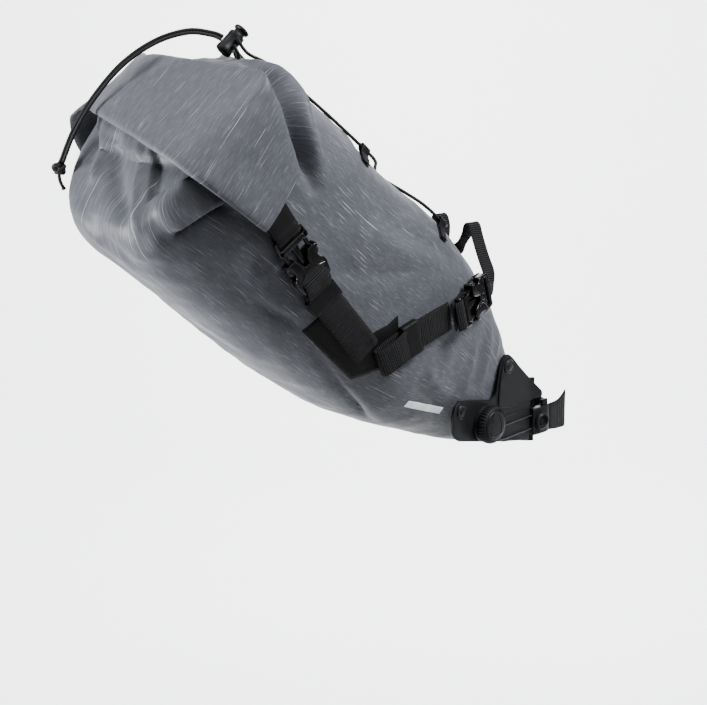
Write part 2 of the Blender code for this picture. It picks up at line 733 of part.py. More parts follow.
def make_cord_lock(looks):
    """Barrel, sprung plunger and spring. The cords pass through a slot square to the barrel."""
    place = frame_at(Vector(LOCK_CENTRE) * MM, LOCK_AXIS, (0, 1, 0))
    barrel = [(0, -9), (6.5, -9), (6.5, 9), (5.3, 9), (5.3, -7.5), (0, -7.5)]
    body = turned("cord_lock_body", barrel, place, looks["moulded"], 20)
    boolean(body, block("cord_lock_hole", place, (-9, -2.2, 0), (9, 2.2, 7), looks["moulded"]))
    plunger = [(0, -1.0), (4.9, -1.0), (4.9, 12.4), (6.2, 13.2), (6.2, 14.6), (0, 15)]
    moving = turned("cord_lock_plunger", plunger, place, looks["moulded"], 20)
    set_origin(moving, place.translation)
    coil = []
    for i in range(SPRING_TURNS * SPRING_STEPS + 1):
        angle = 2 * math.pi * i / SPRING_STEPS
        height = SPRING_FOOT + SPRING_HEIGHT * i / (SPRING_TURNS * SPRING_STEPS)
        turn = Vector((SPRING_RADIUS * math.cos(angle), SPRING_RADIUS * math.sin(angle), height))
        coil.append(place @ (turn * MM))
    cord("cord_lock_spring", coil, 0.25 * MM, looks["lace"])


def make_bungee(skin, looks):
    """Cord from the lock through the four sewn eyes and back, and the eyes."""

    def eye_spot(name, side, lift=EYE_LIFT):
        x, y = EYES[name]
        return skin.top(x, y * side, lift)[0]

    def on_top(x, y, lift=4.6):
        return skin.top(x, y, lift * MM)[0]

    centre = Vector(LOCK_CENTRE) * MM
    route = [
        centre + Vector((1.5, -7.8, 4.5)) * MM,
        centre + Vector((8, -15, -4)) * MM,
        on_top(-276, -28, 5),
        on_top(-240, -37),
        eye_spot("rear", -1),
        on_top(-188, -29, 6),
        on_top(-167, 0, 9),
        on_top(-143, 31, 6),
        eye_spot("front", 1),
        on_top(-112, 24, 5),
        on_top(-108, 0, 5),
        on_top(-112, -24, 5),
        eye_spot("front", -1),
        on_top(-143, -31, 4),
        on_top(-167, 0, 4),
        on_top(-188, 29, 4),
        eye_spot("rear", 1),
        on_top(-240, 37),
        on_top(-272, 26, 5),
        centre + Vector((10, 12, -4)) * MM,
        centre + Vector((9, 4, -13)) * MM,
        centre + Vector((2, -9, -8)) * MM,
        centre + Vector((-1.2, -7.8, -0.2)) * MM,
    ]
    points = smooth_path(route, 3)
    cord("bungee_cord", points, BUNGEE_RADIUS, looks["cord"])
    for name, side, level, index in (("right_rear", -1, "rear", 4), ("left_front", 1, "front", 8),
                                     ("right_front", -1, "front", 12), ("left_rear", 1, "rear", 16)):
        x, y = EYES[level]
        normal = skin.top(x, y * side, 0)[1]
        along = points[3 * index + 1] - points[3 * index - 1]
        place = frame_at(points[3 * index], normal, along)
        sleeve(f"bungee_eye_{name}", place, EYE_LENGTH, (EYE_OUTER, EYE_OUTER), (EYE_INNER, EYE_INNER),
               looks["webbing"])


def make_tail(looks):
    """The doubled free tail, its knot and the cut end."""
    points = smooth_path([Vector(spot) * MM for spot in TAIL], 5)
    for name, sign in (("bungee_tail_inner", 1), ("bungee_tail_outer", -1)):
        strand = []
        for i, point in enumerate(points):
            along = points[min(i + 1, len(points) - 1)] - points[max(i - 1, 0)]
            beside = along.cross(Vector((0, 0, 1))).normalized()
            above = beside.cross(along).normalized()
            strand.append(point + (beside * STRANDS_BESIDE + above * STRANDS_ABOVE) * sign)
        cord(name, strand, BUNGEE_RADIUS, looks["cord"])
    knot_place = frame_at(Vector(KNOT) * MM, (0.2, -0.1, 1), (1, 0, 0))
    turned("tail_knot", KNOT_PROFILE, knot_place, looks["cord"], 14)
    end = smooth_path([Vector(spot) * MM for spot in CUT_END], 3)
    cord("bungee_end", end, BUNGEE_RADIUS, looks["cord"])


def main():
    clear_scene()
    looks = {
        "fabric": material("coated_fabric", (0.17, 0.18, 0.20), 0.55),
        "sheet": material("plastic_sheet", (0.03, 0.03, 0.03), 0.5),
        "moulded": material("moulded_plastic", (0.045, 0.048, 0.052), 0.45),
        "rubber": material("soft_rubber", (0.03, 0.03, 0.032), 0.6),
        "webbing": material("black_webbing", (0.018, 0.018, 0.02), 0.8),
        "tpu": material("coated_tape", (0.03, 0.031, 0.034), 0.5),
        "buckle": material("buckle_plastic", (0.02, 0.02, 0.022), 0.3),
        "cord": material("shock_cord", (0.012, 0.012, 0.013), 0.7),
        "rivet": material("rivet_metal", (0.02, 0.02, 0.02), 0.35, 1.0),
        "lace": material("steel_lace", (0.25, 0.25, 0.25), 0.3, 1.0),
    }
    shell = make_bag_shell(looks["fabric"])
    skin = BagSkin(shell)
    make_base_stiffener(looks["sheet"])
    make_roll_top(looks["fabric"])
    make_roll_stiffener(looks["sheet"])
    bracket = make_clamp(looks)
    make_rivets(bracket, shell, looks)
    make_dial(looks)
    make_post_strap(looks)
    make_catch(looks)
    make_lace(looks)
    for side, side_name in SIDES:
        make_patch(side, side_name, skin, looks)
        make_closure(side, side_name, skin, looks)
        make_rail_strap(side, side_name, skin, looks)
        make_rail_loop(side, side_name, skin, looks)
    make_cord_lock(looks)
    make_bungee(skin, looks)
    make_tail(looks)


main()
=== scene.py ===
"""Looks for the saddle bag: coated fabric, webbing, buckles, post clamp, elastic cord, light and camera.

Metres, +Z up along the seatpost, +X to the bike's front. Sizes written in mm are multiplied by MM.
"""

import json
import math

import bmesh
import bpy
import numpy as np
from mathutils import Matrix, Vector, noise
from mathutils.bvhtree import BVHTree


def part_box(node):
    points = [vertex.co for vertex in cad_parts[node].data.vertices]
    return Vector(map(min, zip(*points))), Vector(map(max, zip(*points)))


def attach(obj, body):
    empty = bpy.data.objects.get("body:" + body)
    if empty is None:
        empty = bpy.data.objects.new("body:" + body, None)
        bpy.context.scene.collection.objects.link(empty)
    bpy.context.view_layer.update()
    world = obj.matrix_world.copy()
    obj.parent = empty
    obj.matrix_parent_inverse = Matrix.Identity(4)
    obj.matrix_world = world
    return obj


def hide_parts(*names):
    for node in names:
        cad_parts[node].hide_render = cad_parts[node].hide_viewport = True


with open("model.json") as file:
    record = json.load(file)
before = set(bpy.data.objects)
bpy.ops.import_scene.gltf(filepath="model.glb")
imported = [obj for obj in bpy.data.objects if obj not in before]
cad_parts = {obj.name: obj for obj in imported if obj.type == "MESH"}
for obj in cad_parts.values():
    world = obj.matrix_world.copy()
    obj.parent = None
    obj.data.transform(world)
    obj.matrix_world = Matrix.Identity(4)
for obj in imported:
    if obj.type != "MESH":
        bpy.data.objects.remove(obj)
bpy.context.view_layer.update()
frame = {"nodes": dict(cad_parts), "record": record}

MM = 0.001
SIDES = ((-1, "right"), (1, "left"))
NODES = frame["nodes"]
FLOW = "flow"

# ---------------------------------------------------------------- camera, light and floor

CAMERA_AZIMUTH = -35.0
CAMERA_ELEVATION = 15.0
CAMERA_DISTANCE = 1.80
CAMERA_TARGET = Vector((-0.184, 0.0, 0.090))
SENSOR = 36.0
LENS = 111.6
# The level direction away from the camera
AWAY = Vector((-math.sin(math.radians(CAMERA_AZIMUTH)), math.cos(math.radians(CAMERA_AZIMUTH)), 0))


def make_camera():
    """Looks at the bag from its right rear, from a little above."""
    a = math.radians(CAMERA_AZIMUTH)
    e = math.radians(CAMERA_ELEVATION)
    back = Vector((math.sin(a) * math.cos(e), -math.cos(a) * math.cos(e), math.sin(e)))
    right = Vector((math.cos(a), math.sin(a), 0))
    up = back.cross(right)
    data = bpy.data.cameras.new("camera")
    data.sensor_width = SENSOR
    data.lens = LENS
    data.clip_end = 10
    camera = bpy.data.objects.new("camera", data)
    camera.matrix_world = Matrix((right, up, back)).transposed().to_4x4()
    camera.location = CAMERA_TARGET + back * CAMERA_DISTANCE
    bpy.context.scene.collection.objects.link(camera)
    bpy.context.scene.camera = camera


def add_light(name, place, target, size, power):
    """A soft rectangular lamp. size is in metres and power in watts."""
    data = bpy.data.lights.new(name, "AREA")
    data.shape = "RECTANGLE"
    data.size, data.size_y = size
    data.energy = power
    light = bpy.data.objects.new(name, data)
    light.location = Vector(place)
    light.rotation_mode = "QUATERNION"
    light.rotation_quaternion = (Vector(target) - Vector(place)).to_track_quat("-Z", "Y")
    bpy.context.scene.collection.objects.link(light)


# The world's strength as light, and as the camera sees it
WORLD_LIGHT = 0.10
WORLD_SEEN = 3.2


def make_lights():
    """Soft lamps on the bag, one on the backdrop behind it and a pale world."""
    centre = (-0.2, 0, 0.15)
    add_light("key", (-0.9, 0.3, 1.9), centre, (0.8, 0.8), 32)
    add_light("side", (0.7, -1.16, 1.84), centre, (0.8, 0.8), 150)
    add_light("front", (-0.7, -1.7, 1.4), centre, (1.2, 1.0), 17)
    add_light("left_rim", (-1.4, 0.5, 0.05), (-0.4, 0, 0.25), (0.5, 0.2), 58)
    start = AWAY * 1.3 + Vector((0, 0, 1.7))
    add_light("backdrop_light", start, AWAY * 3.9 + Vector((0, 0, -0.4)), (3.0, 1.6), 350)
    world = bpy.data.worlds.new("studio")
    world.use_nodes = True
    nodes, links = world.node_tree.nodes, world.node_tree.links
    shade = nodes["Background"]
    shade.inputs["Color"].default_value = (0.93, 0.94, 0.96, 1)
    # past the floor's edge the studio looks as pale as the floor, and still lights the bag only faintly
    strength = nodes.new("ShaderNodeMapRange")
    strength.inputs["To Min"].default_value = WORLD_LIGHT
    strength.inputs["To Max"].default_value = WORLD_SEEN
    links.new(nodes.new("ShaderNodeLightPath").outputs["Is Camera Ray"], strength.inputs["Value"])
    links.new(strength.outputs["Result"], shade.inputs["Strength"])
    bpy.context.scene.world = world


FLOOR_LEVEL = -0.75
FLOOR_HALF = 5.0
BACKDROP_START = 2.2
# The floor narrows to the backdrop's width over this length
FLOOR_TAPER = 0.8
BACKDROP_HALF = 2.2
BACKDROP_BEND = 1.2
BACKDROP_TOP = 4.0
BEND_STEPS = 12


def make_floor(look):
    """A wide pale floor that narrows and turns up into a backdrop behind the object."""
    side = Vector((AWAY.y, -AWAY.x, 0))
    rows = [(-FLOOR_HALF, 0.0, FLOOR_HALF), (BACKDROP_START - FLOOR_TAPER, 0.0, FLOOR_HALF)]
    for i in range(BEND_STEPS + 1):
        turn = math.pi / 2 * i / BEND_STEPS
        distance = BACKDROP_START + BACKDROP_BEND * math.sin(turn)
        rows.append((distance, BACKDROP_BEND - BACKDROP_BEND * math.cos(turn), BACKDROP_HALF))
    rows.append((BACKDROP_START + BACKDROP_BEND, BACKDROP_TOP, BACKDROP_HALF))
    points = []
    for distance, height, half_width in rows:
        for reach in (-half_width, half_width):
            points.append(AWAY * distance + side * reach + Vector((0, 0, FLOOR_LEVEL + height)))
    faces = [(2 * i, 2 * i + 1, 2 * i + 3, 2 * i + 2) for i in range(len(rows) - 1)]
    mesh = bpy.data.meshes.new("floor")
    mesh.from_pydata([tuple(p) for p in points], [], faces)
    mesh.shade_smooth()
    mesh.materials.append(look)
    floor = bpy.data.objects.new("floor", mesh)
    bpy.context.scene.collection.objects.link(floor)


# ---------------------------------------------------------------- materials


def grey(value):
    return (value, value, value)


def shaded(colour, share):
    """The colour, darker or lighter."""
    return tuple(share * c for c in colour)


class Look:
    """A Principled material and short ways to add nodes to it."""

    def __init__(self, name, colour, roughness, metallic=0.0, specular=0.5):
        self.made = bpy.data.materials.new(name)
        self.made.use_nodes = True
        self.tree = self.made.node_tree
        self.shader = self.tree.nodes["Principled BSDF"]
        self.shader.inputs["Base Color"].default_value = (*colour, 1)
        self.shader.inputs["Roughness"].default_value = roughness
        self.shader.inputs["Metallic"].default_value = metallic
        self.shader.inputs["Specular IOR Level"].default_value = specular
        self.made.diffuse_color = (*colour, 1)

    def node(self, kind, **settings):
        """A new node with its settings."""
        node = self.tree.nodes.new(kind)
        for key, value in settings.items():
            setattr(node, key, value)
        return node

    def link(self, start, end):
        self.tree.links.new(start, end)

    def place(self, source, scale, rotation=0.0):
        """Coordinates from the piece's flow map or its object space, stretched by scale."""
        if source == FLOW:
            start = self.node("ShaderNodeUVMap", uv_map=FLOW).outputs["UV"]
        else:
            start = self.node("ShaderNodeTexCoord").outputs["Object"]
        mapping = self.node("ShaderNodeMapping")
        mapping.inputs["Scale"].default_value = scale
        mapping.inputs["Rotation"].default_value = (0, 0, rotation)
        self.link(start, mapping.inputs["Vector"])
        return mapping.outputs["Vector"]

    def noise(self, source, scale, detail=2.0, distortion=0.0):
        """Smooth noise with scale features per metre in each direction."""
        texture = self.node("ShaderNodeTexNoise")
        texture.inputs["Scale"].default_value = 1.0
        texture.inputs["Detail"].default_value = detail
        texture.inputs["Distortion"].default_value = distortion
        self.link(self.place(source, scale), texture.inputs["Vector"])
        return texture.outputs["Fac"]

    def wave(self, source, scale, axis="X"):
        """Slightly uneven bands across axis."""
        texture = self.node("ShaderNodeTexWave", wave_type="BANDS", bands_direction=axis)
        texture.inputs["Scale"].default_value = 1.0
        texture.inputs["Distortion"].default_value = 0.4
        texture.inputs["Detail"].default_value = 1.0
        self.link(self.place(source, scale), texture.inputs["Vector"])
        return texture.outputs["Fac"]

    def ramp(self, value, stops):
        """A colour from a value. stops are (position, colour) pairs in rising order."""
        ramp = self.node("ShaderNodeValToRGB")
        elements = ramp.color_ramp.elements
        for spot, (position, colour) in zip(elements, (stops[0], stops[-1])):
            spot.position = position
            spot.color = (*colour, 1)
        for position, colour in stops[1:-1]:
            elements.new(position).color = (*colour, 1)
        self.link(value, ramp.inputs["Fac"])
        return ramp.outputs["Color"]

    def mix(self, amount, low, high, blend="MIX"):
        """low blended into high by amount. Each is a number, a colour or another node's output."""
        mix = self.node("ShaderNodeMix", data_type="RGBA", blend_type=blend)
        for socket, value in ((mix.inputs[0], amount), (mix.inputs[6], low), (mix.inputs[7], high)):
            if isinstance(value, bpy.types.NodeSocket):
                self.link(value, socket)
            elif isinstance(value, tuple):
                socket.default_value = (*value, 1)
            else:
                socket.default_value = value
        return mix.outputs[2]

    def colour(self, value):
        self.link(value, self.shader.inputs["Base Color"])

    def rough(self, value, low, high):
        """Roughness from low to high over the middle of the value's range."""
        span = self.node("ShaderNodeMapRange")
        span.inputs["From Min"].default_value = 0.3
        span.inputs["From Max"].default_value = 0.7
        span.inputs["To Min"].default_value = low
        span.inputs["To Max"].default_value = high
        self.link(value, span.inputs["Value"])
        self.link(span.outputs["Result"], self.shader.inputs["Roughness"])

    def bump(self, layers):
        """Bumps laid on each other. Each layer is a height, a strength and a distance in metres."""
        last = None
        for height, strength, distance in layers:
            bump = self.node("ShaderNodeBump")
            bump.inputs["Strength"].default_value = strength
            bump.inputs["Distance"].default_value = distance
            self.link(height, bump.inputs["Height"])
            if last:
                self.link(last, bump.inputs["Normal"])
            last = bump.outputs["Normal"]
        self.link(last, self.shader.inputs["Normal"])


def fabric_look(name, base, streak):
    """Coated fabric: pale slubs in clusters along its warp, fine fibres and a satin face."""
    look = Look(name, base, 0.5, specular=0.20)
    fibres = look.noise(FLOW, (110, 2100, 1), 3.0)
    cloudy = look.noise("object", (14, 14, 14), 3.0)
    tone = look.ramp(fibres, ((0.32, shaded(base, 0.72)), (0.68, shaded(base, 1.34))))
    dark = shaded(base, 0.80)
    tone = look.mix(look.ramp(cloudy, ((0.35, grey(0)), (0.65, grey(0.45)))), tone, dark)
    clusters = look.ramp(look.noise(FLOW, (9, 75, 1), 2.0), ((0.44, grey(0.10)), (0.60, grey(1))))
    long_lines = look.noise(FLOW, (24, 1300, 1), 2.0, 0.1)
    strong = look.ramp(long_lines, ((0.64, grey(0)), (0.69, grey(0.9))))
    tone = look.mix(look.mix(1.0, strong, clusters, "MULTIPLY"), tone, streak)
    short_lines = look.noise(FLOW, (95, 1700, 1), 2.0, 0.1)
    weak = look.ramp(short_lines, ((0.60, grey(0)), (0.72, grey(0.30))))
    tone = look.mix(weak, tone, streak)
    look.colour(tone)
    look.rough(look.noise("object", (40, 40, 40), 3.0), 0.48, 0.64)
    look.bump((
        (look.noise(FLOW, (900, 2400, 1), 2.0), 0.35, 0.00012),
        (look.noise("object", (130, 130, 130), 3.0), 0.25, 0.0005),
    ))
    return look.made


def webbing_look(name, base, pale):
    """Woven nylon tape: cross ribs, lengthwise yarns and a dry, matt face."""
    look = Look(name, base, 0.75, specular=0.08)
    ribs = look.wave(FLOW, (175, 1, 1), "X")
    yarns = look.wave(FLOW, (1, 420, 1), "Y")
    weave = look.mix(0.3, ribs, yarns)
    tone = look.ramp(weave, ((0.30, base), (0.80, pale)))
    worn = look.noise("object", (60, 60, 60), 3.0)
    look.colour(look.mix(look.ramp(worn, ((0.45, grey(0)), (0.8, grey(0.5)))), tone, pale))
    look.rough(worn, 0.65, 0.85)
    look.bump(((ribs, 0.9, 0.0005), (yarns, 0.4, 0.00015)))
    return look.made


def tape_look(name, base, roughness):
    """Smooth coated tape or rubber with a faint grain."""
    look = Look(name, base, roughness, specular=0.09)
    grain = look.noise("object", (420, 420, 420), 3.0)
    broad = look.noise("object", (35, 35, 35), 3.0)
    look.colour(look.ramp(broad, ((0.3, shaded(base, 0.85)), (0.7, shaded(base, 1.25)))))
    look.rough(grain, roughness - 0.07, roughness + 0.09)
    look.bump(((grain, 0.3, 0.00015), (broad, 0.15, 0.0006)))
    return look.made


def plastic_look(name, base, roughness, grain_scale=700, metallic=0.0, specular=0.5):
    """Moulded plastic with a spark-eroded grain, handling marks and slight flow marks."""
    look = Look(name, base, roughness, metallic, specular)
    grain = look.noise("object", (grain_scale,) * 3, 2.0)
    marks = look.noise("object", (90, 90, 25), 4.0, 0.4)
    look.colour(look.ramp(marks, ((0.3, shaded(base, 0.88)), (0.75, shaded(base, 1.2)))))
    look.rough(marks, roughness - 0.06, roughness + 0.10)
    look.bump(((grain, 0.22, 0.00008), (marks, 0.08, 0.0003)))
    return look.made


def cord_look(name, base, pale):
    """Braided sheath: two sets of crossing strands."""
    look = Look(name, base, 0.6, specular=0.2)
    one = look.wave(FLOW, (260, 180, 1), "DIAGONAL")
    two = look.wave(FLOW, (260, -180, 1), "DIAGONAL")
    braid = look.mix(1.0, one, two, "MULTIPLY")
    look.colour(look.ramp(braid, ((0.1, base), (0.8, pale))))
    look.rough(look.noise("object", (80, 80, 80)), 0.5, 0.7)
    look.bump(((braid, 0.7, 0.00025),))
    return look.made


def stitch_look(name, base):
    """Dull twisted thread."""
    look = Look(name, base, 0.8, specular=0.12)
    twist = look.noise("object", (1500, 1500, 1500), 2.0)
    look.colour(look.ramp(twist, ((0.3, base), (0.7, shaded(base, 1.7)))))
    look.bump(((twist, 0.4, 0.0001),))
    return look.made


def floor_look():
    """Pale backdrop. The floor darkens under the object, so that it throws little light up at it."""
    look = Look("pale_floor", (0.86, 0.87, 0.88), 0.7)
    soft = look.noise("object", (2, 2, 2), 2.0)
    pale = look.ramp(soft, ((0.3, (0.85, 0.86, 0.875)), (0.7, (0.87, 0.88, 0.89))))
    distance = look.node("ShaderNodeVectorMath", operation="DOT_PRODUCT")
    look.link(look.place("object", (1, 1, 1)), distance.inputs[0])
    distance.inputs[1].default_value = AWAY
    near = look.ramp(distance.outputs["Value"], ((0.10, grey(1)), (0.40, grey(0))))
    look.colour(look.mix(near, pale, (0.40, 0.405, 0.41)))
    return look.made


LOOKS = {
    "coated_fabric": fabric_look("coated_fabric_grey", (0.051, 0.054, 0.0635), (0.27, 0.28, 0.305)),
    "plastic_sheet": plastic_look("plastic_sheet_black", (0.02, 0.02, 0.022), 0.5),
    "moulded_plastic": plastic_look("moulded_plastic_dark", (0.0062, 0.0066, 0.0076), 0.42, specular=0.10),
    "soft_rubber": tape_look("soft_rubber_dark", (0.0075, 0.0078, 0.0088), 0.55),
    "black_webbing": webbing_look("black_webbing_woven", (0.0016, 0.0016, 0.0018), (0.0150, 0.0150, 0.0165)),
    "coated_tape": tape_look("coated_tape_black", (0.0036, 0.0036, 0.0041), 0.55),
    "buckle_plastic": plastic_look("buckle_plastic_black", (0.003, 0.003, 0.0034), 0.20, 900, specular=0.36),
    "shock_cord": cord_look("shock_cord_black", (0.0025, 0.0025, 0.003), (0.012, 0.012, 0.014)),
    "rivet_metal": plastic_look("rivet_black", (0.007, 0.0075, 0.0085), 0.33, 1200, 0.3, 0.3),
    "steel_lace": plastic_look("steel_lace_grey", (0.05, 0.05, 0.055), 0.35, 1500, 0.8),
    "thread": stitch_look("stitching_black", (0.0028, 0.0028, 0.0033)),
    "reflective": plastic_look("reflective_print_pale", (0.62, 0.64, 0.66), 0.45, 1500),
}

# ---------------------------------------------------------------- building helpers

RIB_PITCH = 1.35 * MM
# Directions are scaled down by this while a path is spaced out, so that its length alone decides the spacing
OUT_SHARE = 1e-4


def add_piece(name, points, faces, look, slot=None, body="bag", replaces=(), loops=None, angle=40.0):
    """One visible piece. slot is not used.

    loops holds one flow coordinate per face corner. Faces that meet at more than angle degrees stay crisp.
    """
    mesh = bpy.data.meshes.new(name)
    mesh.from_pydata([tuple(p) for p in points], [], faces)
    flow = mesh.uv_layers.new(name=FLOW)
    if loops is None:
        coords = np.array([tuple(points[i]) for face in faces for i in face])
        loops = np.stack([coords[:, 0] + 0.3 * coords[:, 1], coords[:, 2] + 0.7 * coords[:, 1]], axis=1)
    flow.data.foreach_set("uv", np.asarray(loops, np.float32).ravel())
    mesh.materials.append(LOOKS[look])
    mesh.shade_smooth()
    if angle:
        mesh.set_sharp_from_angle(angle=math.radians(angle))
    obj = bpy.data.objects.new(name, mesh)
    bpy.context.scene.collection.objects.link(obj)
    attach(obj, body)
    if replaces:
        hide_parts(*replaces)
    return obj


def curve_through(points, steps):
    """A smooth open curve through points, as an array of steps per span."""
    pts = np.asarray([tuple(p) for p in points], float)
    count = len(pts)
    found = []
    for i in range(count - 1):
        b, c = pts[i], pts[i + 1]
        a = pts[i - 1] if i else 2 * b - c
        d = pts[i + 2] if i + 2 < count else 2 * c - b
        for step in range(steps):
            t = step / steps
            found.append(0.5 * (2 * b + (c - a) * t + (2 * a - 5 * b + 4 * c - d) * t * t
                                + (3 * b - a - 3 * c + d) * t ** 3))
    found.append(pts[-1])
    return np.array(found)


def evenly(points, spacing):
    """The same line with points at about even spacing."""
    pts = np.asarray(points, float)
    lengths = np.concatenate([[0], np.cumsum(np.linalg.norm(np.diff(pts, axis=0), axis=1))])
    count = max(2, round(lengths[-1] / spacing) + 1)
    where = np.linspace(0, lengths[-1], count)
    return np.stack([np.interp(where, lengths, pts[:, k]) for k in range(pts.shape[1])], axis=1)


def evenly_facing(path, outs, spacing):
    """A path and the directions its face points in, both at about even spacing along the path."""
    outs = np.asarray(outs, float) * OUT_SHARE
    both = evenly(np.concatenate([np.asarray(path, float), outs], axis=1), spacing)
    return both[:, :3], both[:, 3:] / OUT_SHARE


def units(vectors):
    """Each row scaled to a length of one."""
    return vectors / np.linalg.norm(vectors, axis=1)[:, None]


def at(place, x, y, z):
    """The point at x, y, z in mm in the frame of place."""
    return place @ (Vector((x, y, z)) * MM)


def mesh_tree(mesh):
    """A search tree of a mesh's faces."""
    shape = bmesh.new()
    shape.from_mesh(mesh)
    tree = BVHTree.FromBMesh(shape)
    shape.free()
    return tree


def rounded(outline, radius, steps=5):
    """A closed 2D outline with each corner rounded off."""
    pts = [Vector(p) for p in outline]
    found = []
    for i, corner in enumerate(pts):
        before = pts[i - 1] - corner
        after = pts[(i + 1) % len(pts)] - corner
        reach = min(radius, before.length * 0.45, after.length * 0.45)
        start = corner + before.normalized() * reach
        end = corner + after.normalized() * reach
        for step in range(steps + 1):
            t = step / steps
            found.append(tuple(start * (1 - t) ** 2 + corner * 2 * t * (1 - t) + end * t * t))
    return found


def loft_arrays(rings, closed_round=False):
    """Faces and flow loops of a skin through rings of equal count. Flow is distance along, distance round."""
    rings = np.asarray(rings, float)
    rows, count = rings.shape[:2]
    points = rings.reshape(-1, 3)
    along = np.concatenate([[0], np.cumsum(np.linalg.norm(np.diff(rings.mean(axis=1), axis=0), axis=1))])
    if closed_round:
        along = np.append(along, along[-1] + np.linalg.norm(rings[0].mean(0) - rings[-1].mean(0)))
    shut = np.concatenate([rings, rings[:, :1]], axis=1)
    round_steps = np.linalg.norm(np.diff(shut, axis=1), axis=2).mean(axis=0)
    girth = np.concatenate([[0], np.cumsum(round_steps)])
    faces, loops = [], []
    for i in range(rows if closed_round else rows - 1):
        low, high = i * count, ((i + 1) % rows) * count
        for j in range(count):
            k = (j + 1) % count
            faces.append((low + j, low + k, high + k, high + j))
            loops += [(along[i], girth[j]), (along[i], girth[j + 1]),
                      (along[i + 1], girth[j + 1]), (along[i + 1], girth[j])]
    if not closed_round:
        for start, turn in ((0, -1), (len(points) - count, 1)):
            face = tuple(range(start, start + count))[::turn]
            faces.append(face)
            loops += [(along[0 if start == 0 else -1], girth[v - start]) for v in face]
    return points, faces, loops


def facing_out(points, faces, loops):
    """The same skin, turned round if its faces point inwards."""
    pts = np.asarray(points, float)
    total = 0.0
    for face in faces:
        a = pts[face[0]]
        for i in range(1, len(face) - 1):
            total += np.dot(a, np.cross(pts[face[i]], pts[face[i + 1]]))
    if total >= 0:
        return points, faces, loops
    turned_faces, turned_loops, start = [], [], 0
    for face in faces:
        turned_faces.append(face[::-1])
        turned_loops += loops[start:start + len(face)][::-1]
        start += len(face)
    return points, turned_faces, turned_loops


def add_loft(name, rings, look, closed_round=False, **rest):
    """A piece that is a skin through rings. closed_round joins the last ring to the first."""
    points, faces, loops = facing_out(*loft_arrays(rings, closed_round))
    return add_piece(name, points, faces, look, loops=loops, **rest)


def frame_at(origin, up, along):
    """A frame at origin whose Z is up and whose X lies towards along."""
    z = Vector(up).normalized()
    x = (Vector(along) - z * Vector(along).dot(z)).normalized()
    place = Matrix((x, z.cross(x), z)).transposed().to_4x4()
    place.translation = Vector(origin)
    return place


def turned(name, profile, place, look, segments=48, wobble=None, **rest):
    """A closed solid of revolution about local Z, from (radius, height) pairs in mm.

    wobble gives what to add to a radius, from its angle, radius and height.
    """
    rings = []
    for i in range(segments):
        angle = 2 * math.pi * i / segments
        ring = []
        for r, h in profile:
            reach = r + (wobble(angle, r, h) if wobble else 0.0)
            ring.append(tuple(at(place, reach * math.cos(angle), reach * math.sin(angle), h)))
        rings.append(ring)
    return add_loft(name, rings, look, closed_round=True, **rest)


def plate(name, outlines, place, low, high, edge, look, bend=None, cuts=(), **rest):
    """A flat part with holes and rounded edges. The first outline is the outside, in mm, in local XY.

    bend moves each point instead of place, and cuts are the x values of extra edges for it to bend at.
    """
    curve = bpy.data.curves.new(name, "CURVE")
    curve.dimensions = "2D"
    curve.fill_mode = "BOTH"
    curve.extrude = ((high - low) / 2 - edge) * MM
    curve.bevel_depth = edge * MM
    curve.bevel_resolution = 2
    curve.offset = -edge * MM
    for outline in outlines:
        spline = curve.splines.new("POLY")
        spline.points.add(len(outline) - 1)
        for spot, (x, y) in zip(spline.points, outline):
            spot.co = (x * MM, y * MM, 0, 1)
        spline.use_cyclic_u = True
    holder = bpy.data.objects.new(name, curve)
    bpy.context.scene.collection.objects.link(holder)
    bpy.context.view_layer.update()
    mesh = bpy.data.meshes.new_from_object(holder)
    bpy.data.objects.remove(holder)
    bpy.data.curves.remove(curve)
    shape = bmesh.new()
    shape.from_mesh(mesh)
    bmesh.ops.remove_doubles(shape, verts=shape.verts, dist=0.00001)
    for x in cuts:
        bmesh.ops.bisect_plane(shape, geom=shape.verts[:] + shape.edges[:] + shape.faces[:],
                               plane_co=(x * MM, 0, 0), plane_no=(1, 0, 0))
    bmesh.ops.recalc_face_normals(shape, faces=shape.faces)
    middle = Vector((0, 0, (low + high) / 2 * MM))
    for vert in shape.verts:
        spot = vert.co + middle
        vert.co = bend(spot) if bend else place @ spot
    shape.verts.index_update()
    points = [v.co.copy() for v in shape.verts]
    faces = [tuple(v.index for v in f.verts) for f in shape.faces]
    shape.free()
    bpy.data.meshes.remove(mesh)
    flat = [0] * sum(len(f) for f in faces)
    points, faces, _ = facing_out(points, faces, flat)
    return add_piece(name, points, faces, look, angle=35.0, **rest)


def join(main, others):
    """Merges other pieces' meshes into the first one, which keeps its name, body and slot."""
    shape = bmesh.new()
    for piece in (main, *others):
        shape.from_mesh(piece.data)
    shape.to_mesh(main.data)
    shape.free()
    main.data.set_sharp_from_angle(angle=math.radians(38))
    for other in others:
        bpy.data.objects.remove(other)


def web_profile(width, thickness):
    """A tape's section: flat faces and rounded edges, as (across, out)."""
    half, rise = width / 2, thickness / 2
    edge = rise * 0.9
    top = [(half - edge, rise), (half * 0.5, rise), (0, rise), (-half * 0.5, rise), (-half + edge, rise)]
    bottom = [(x, -y) for x, y in top[::-1]]
    low = rise * 0.45
    return top + [(-half, low), (-half, -low)] + bottom + [(half, -low), (half, low)]


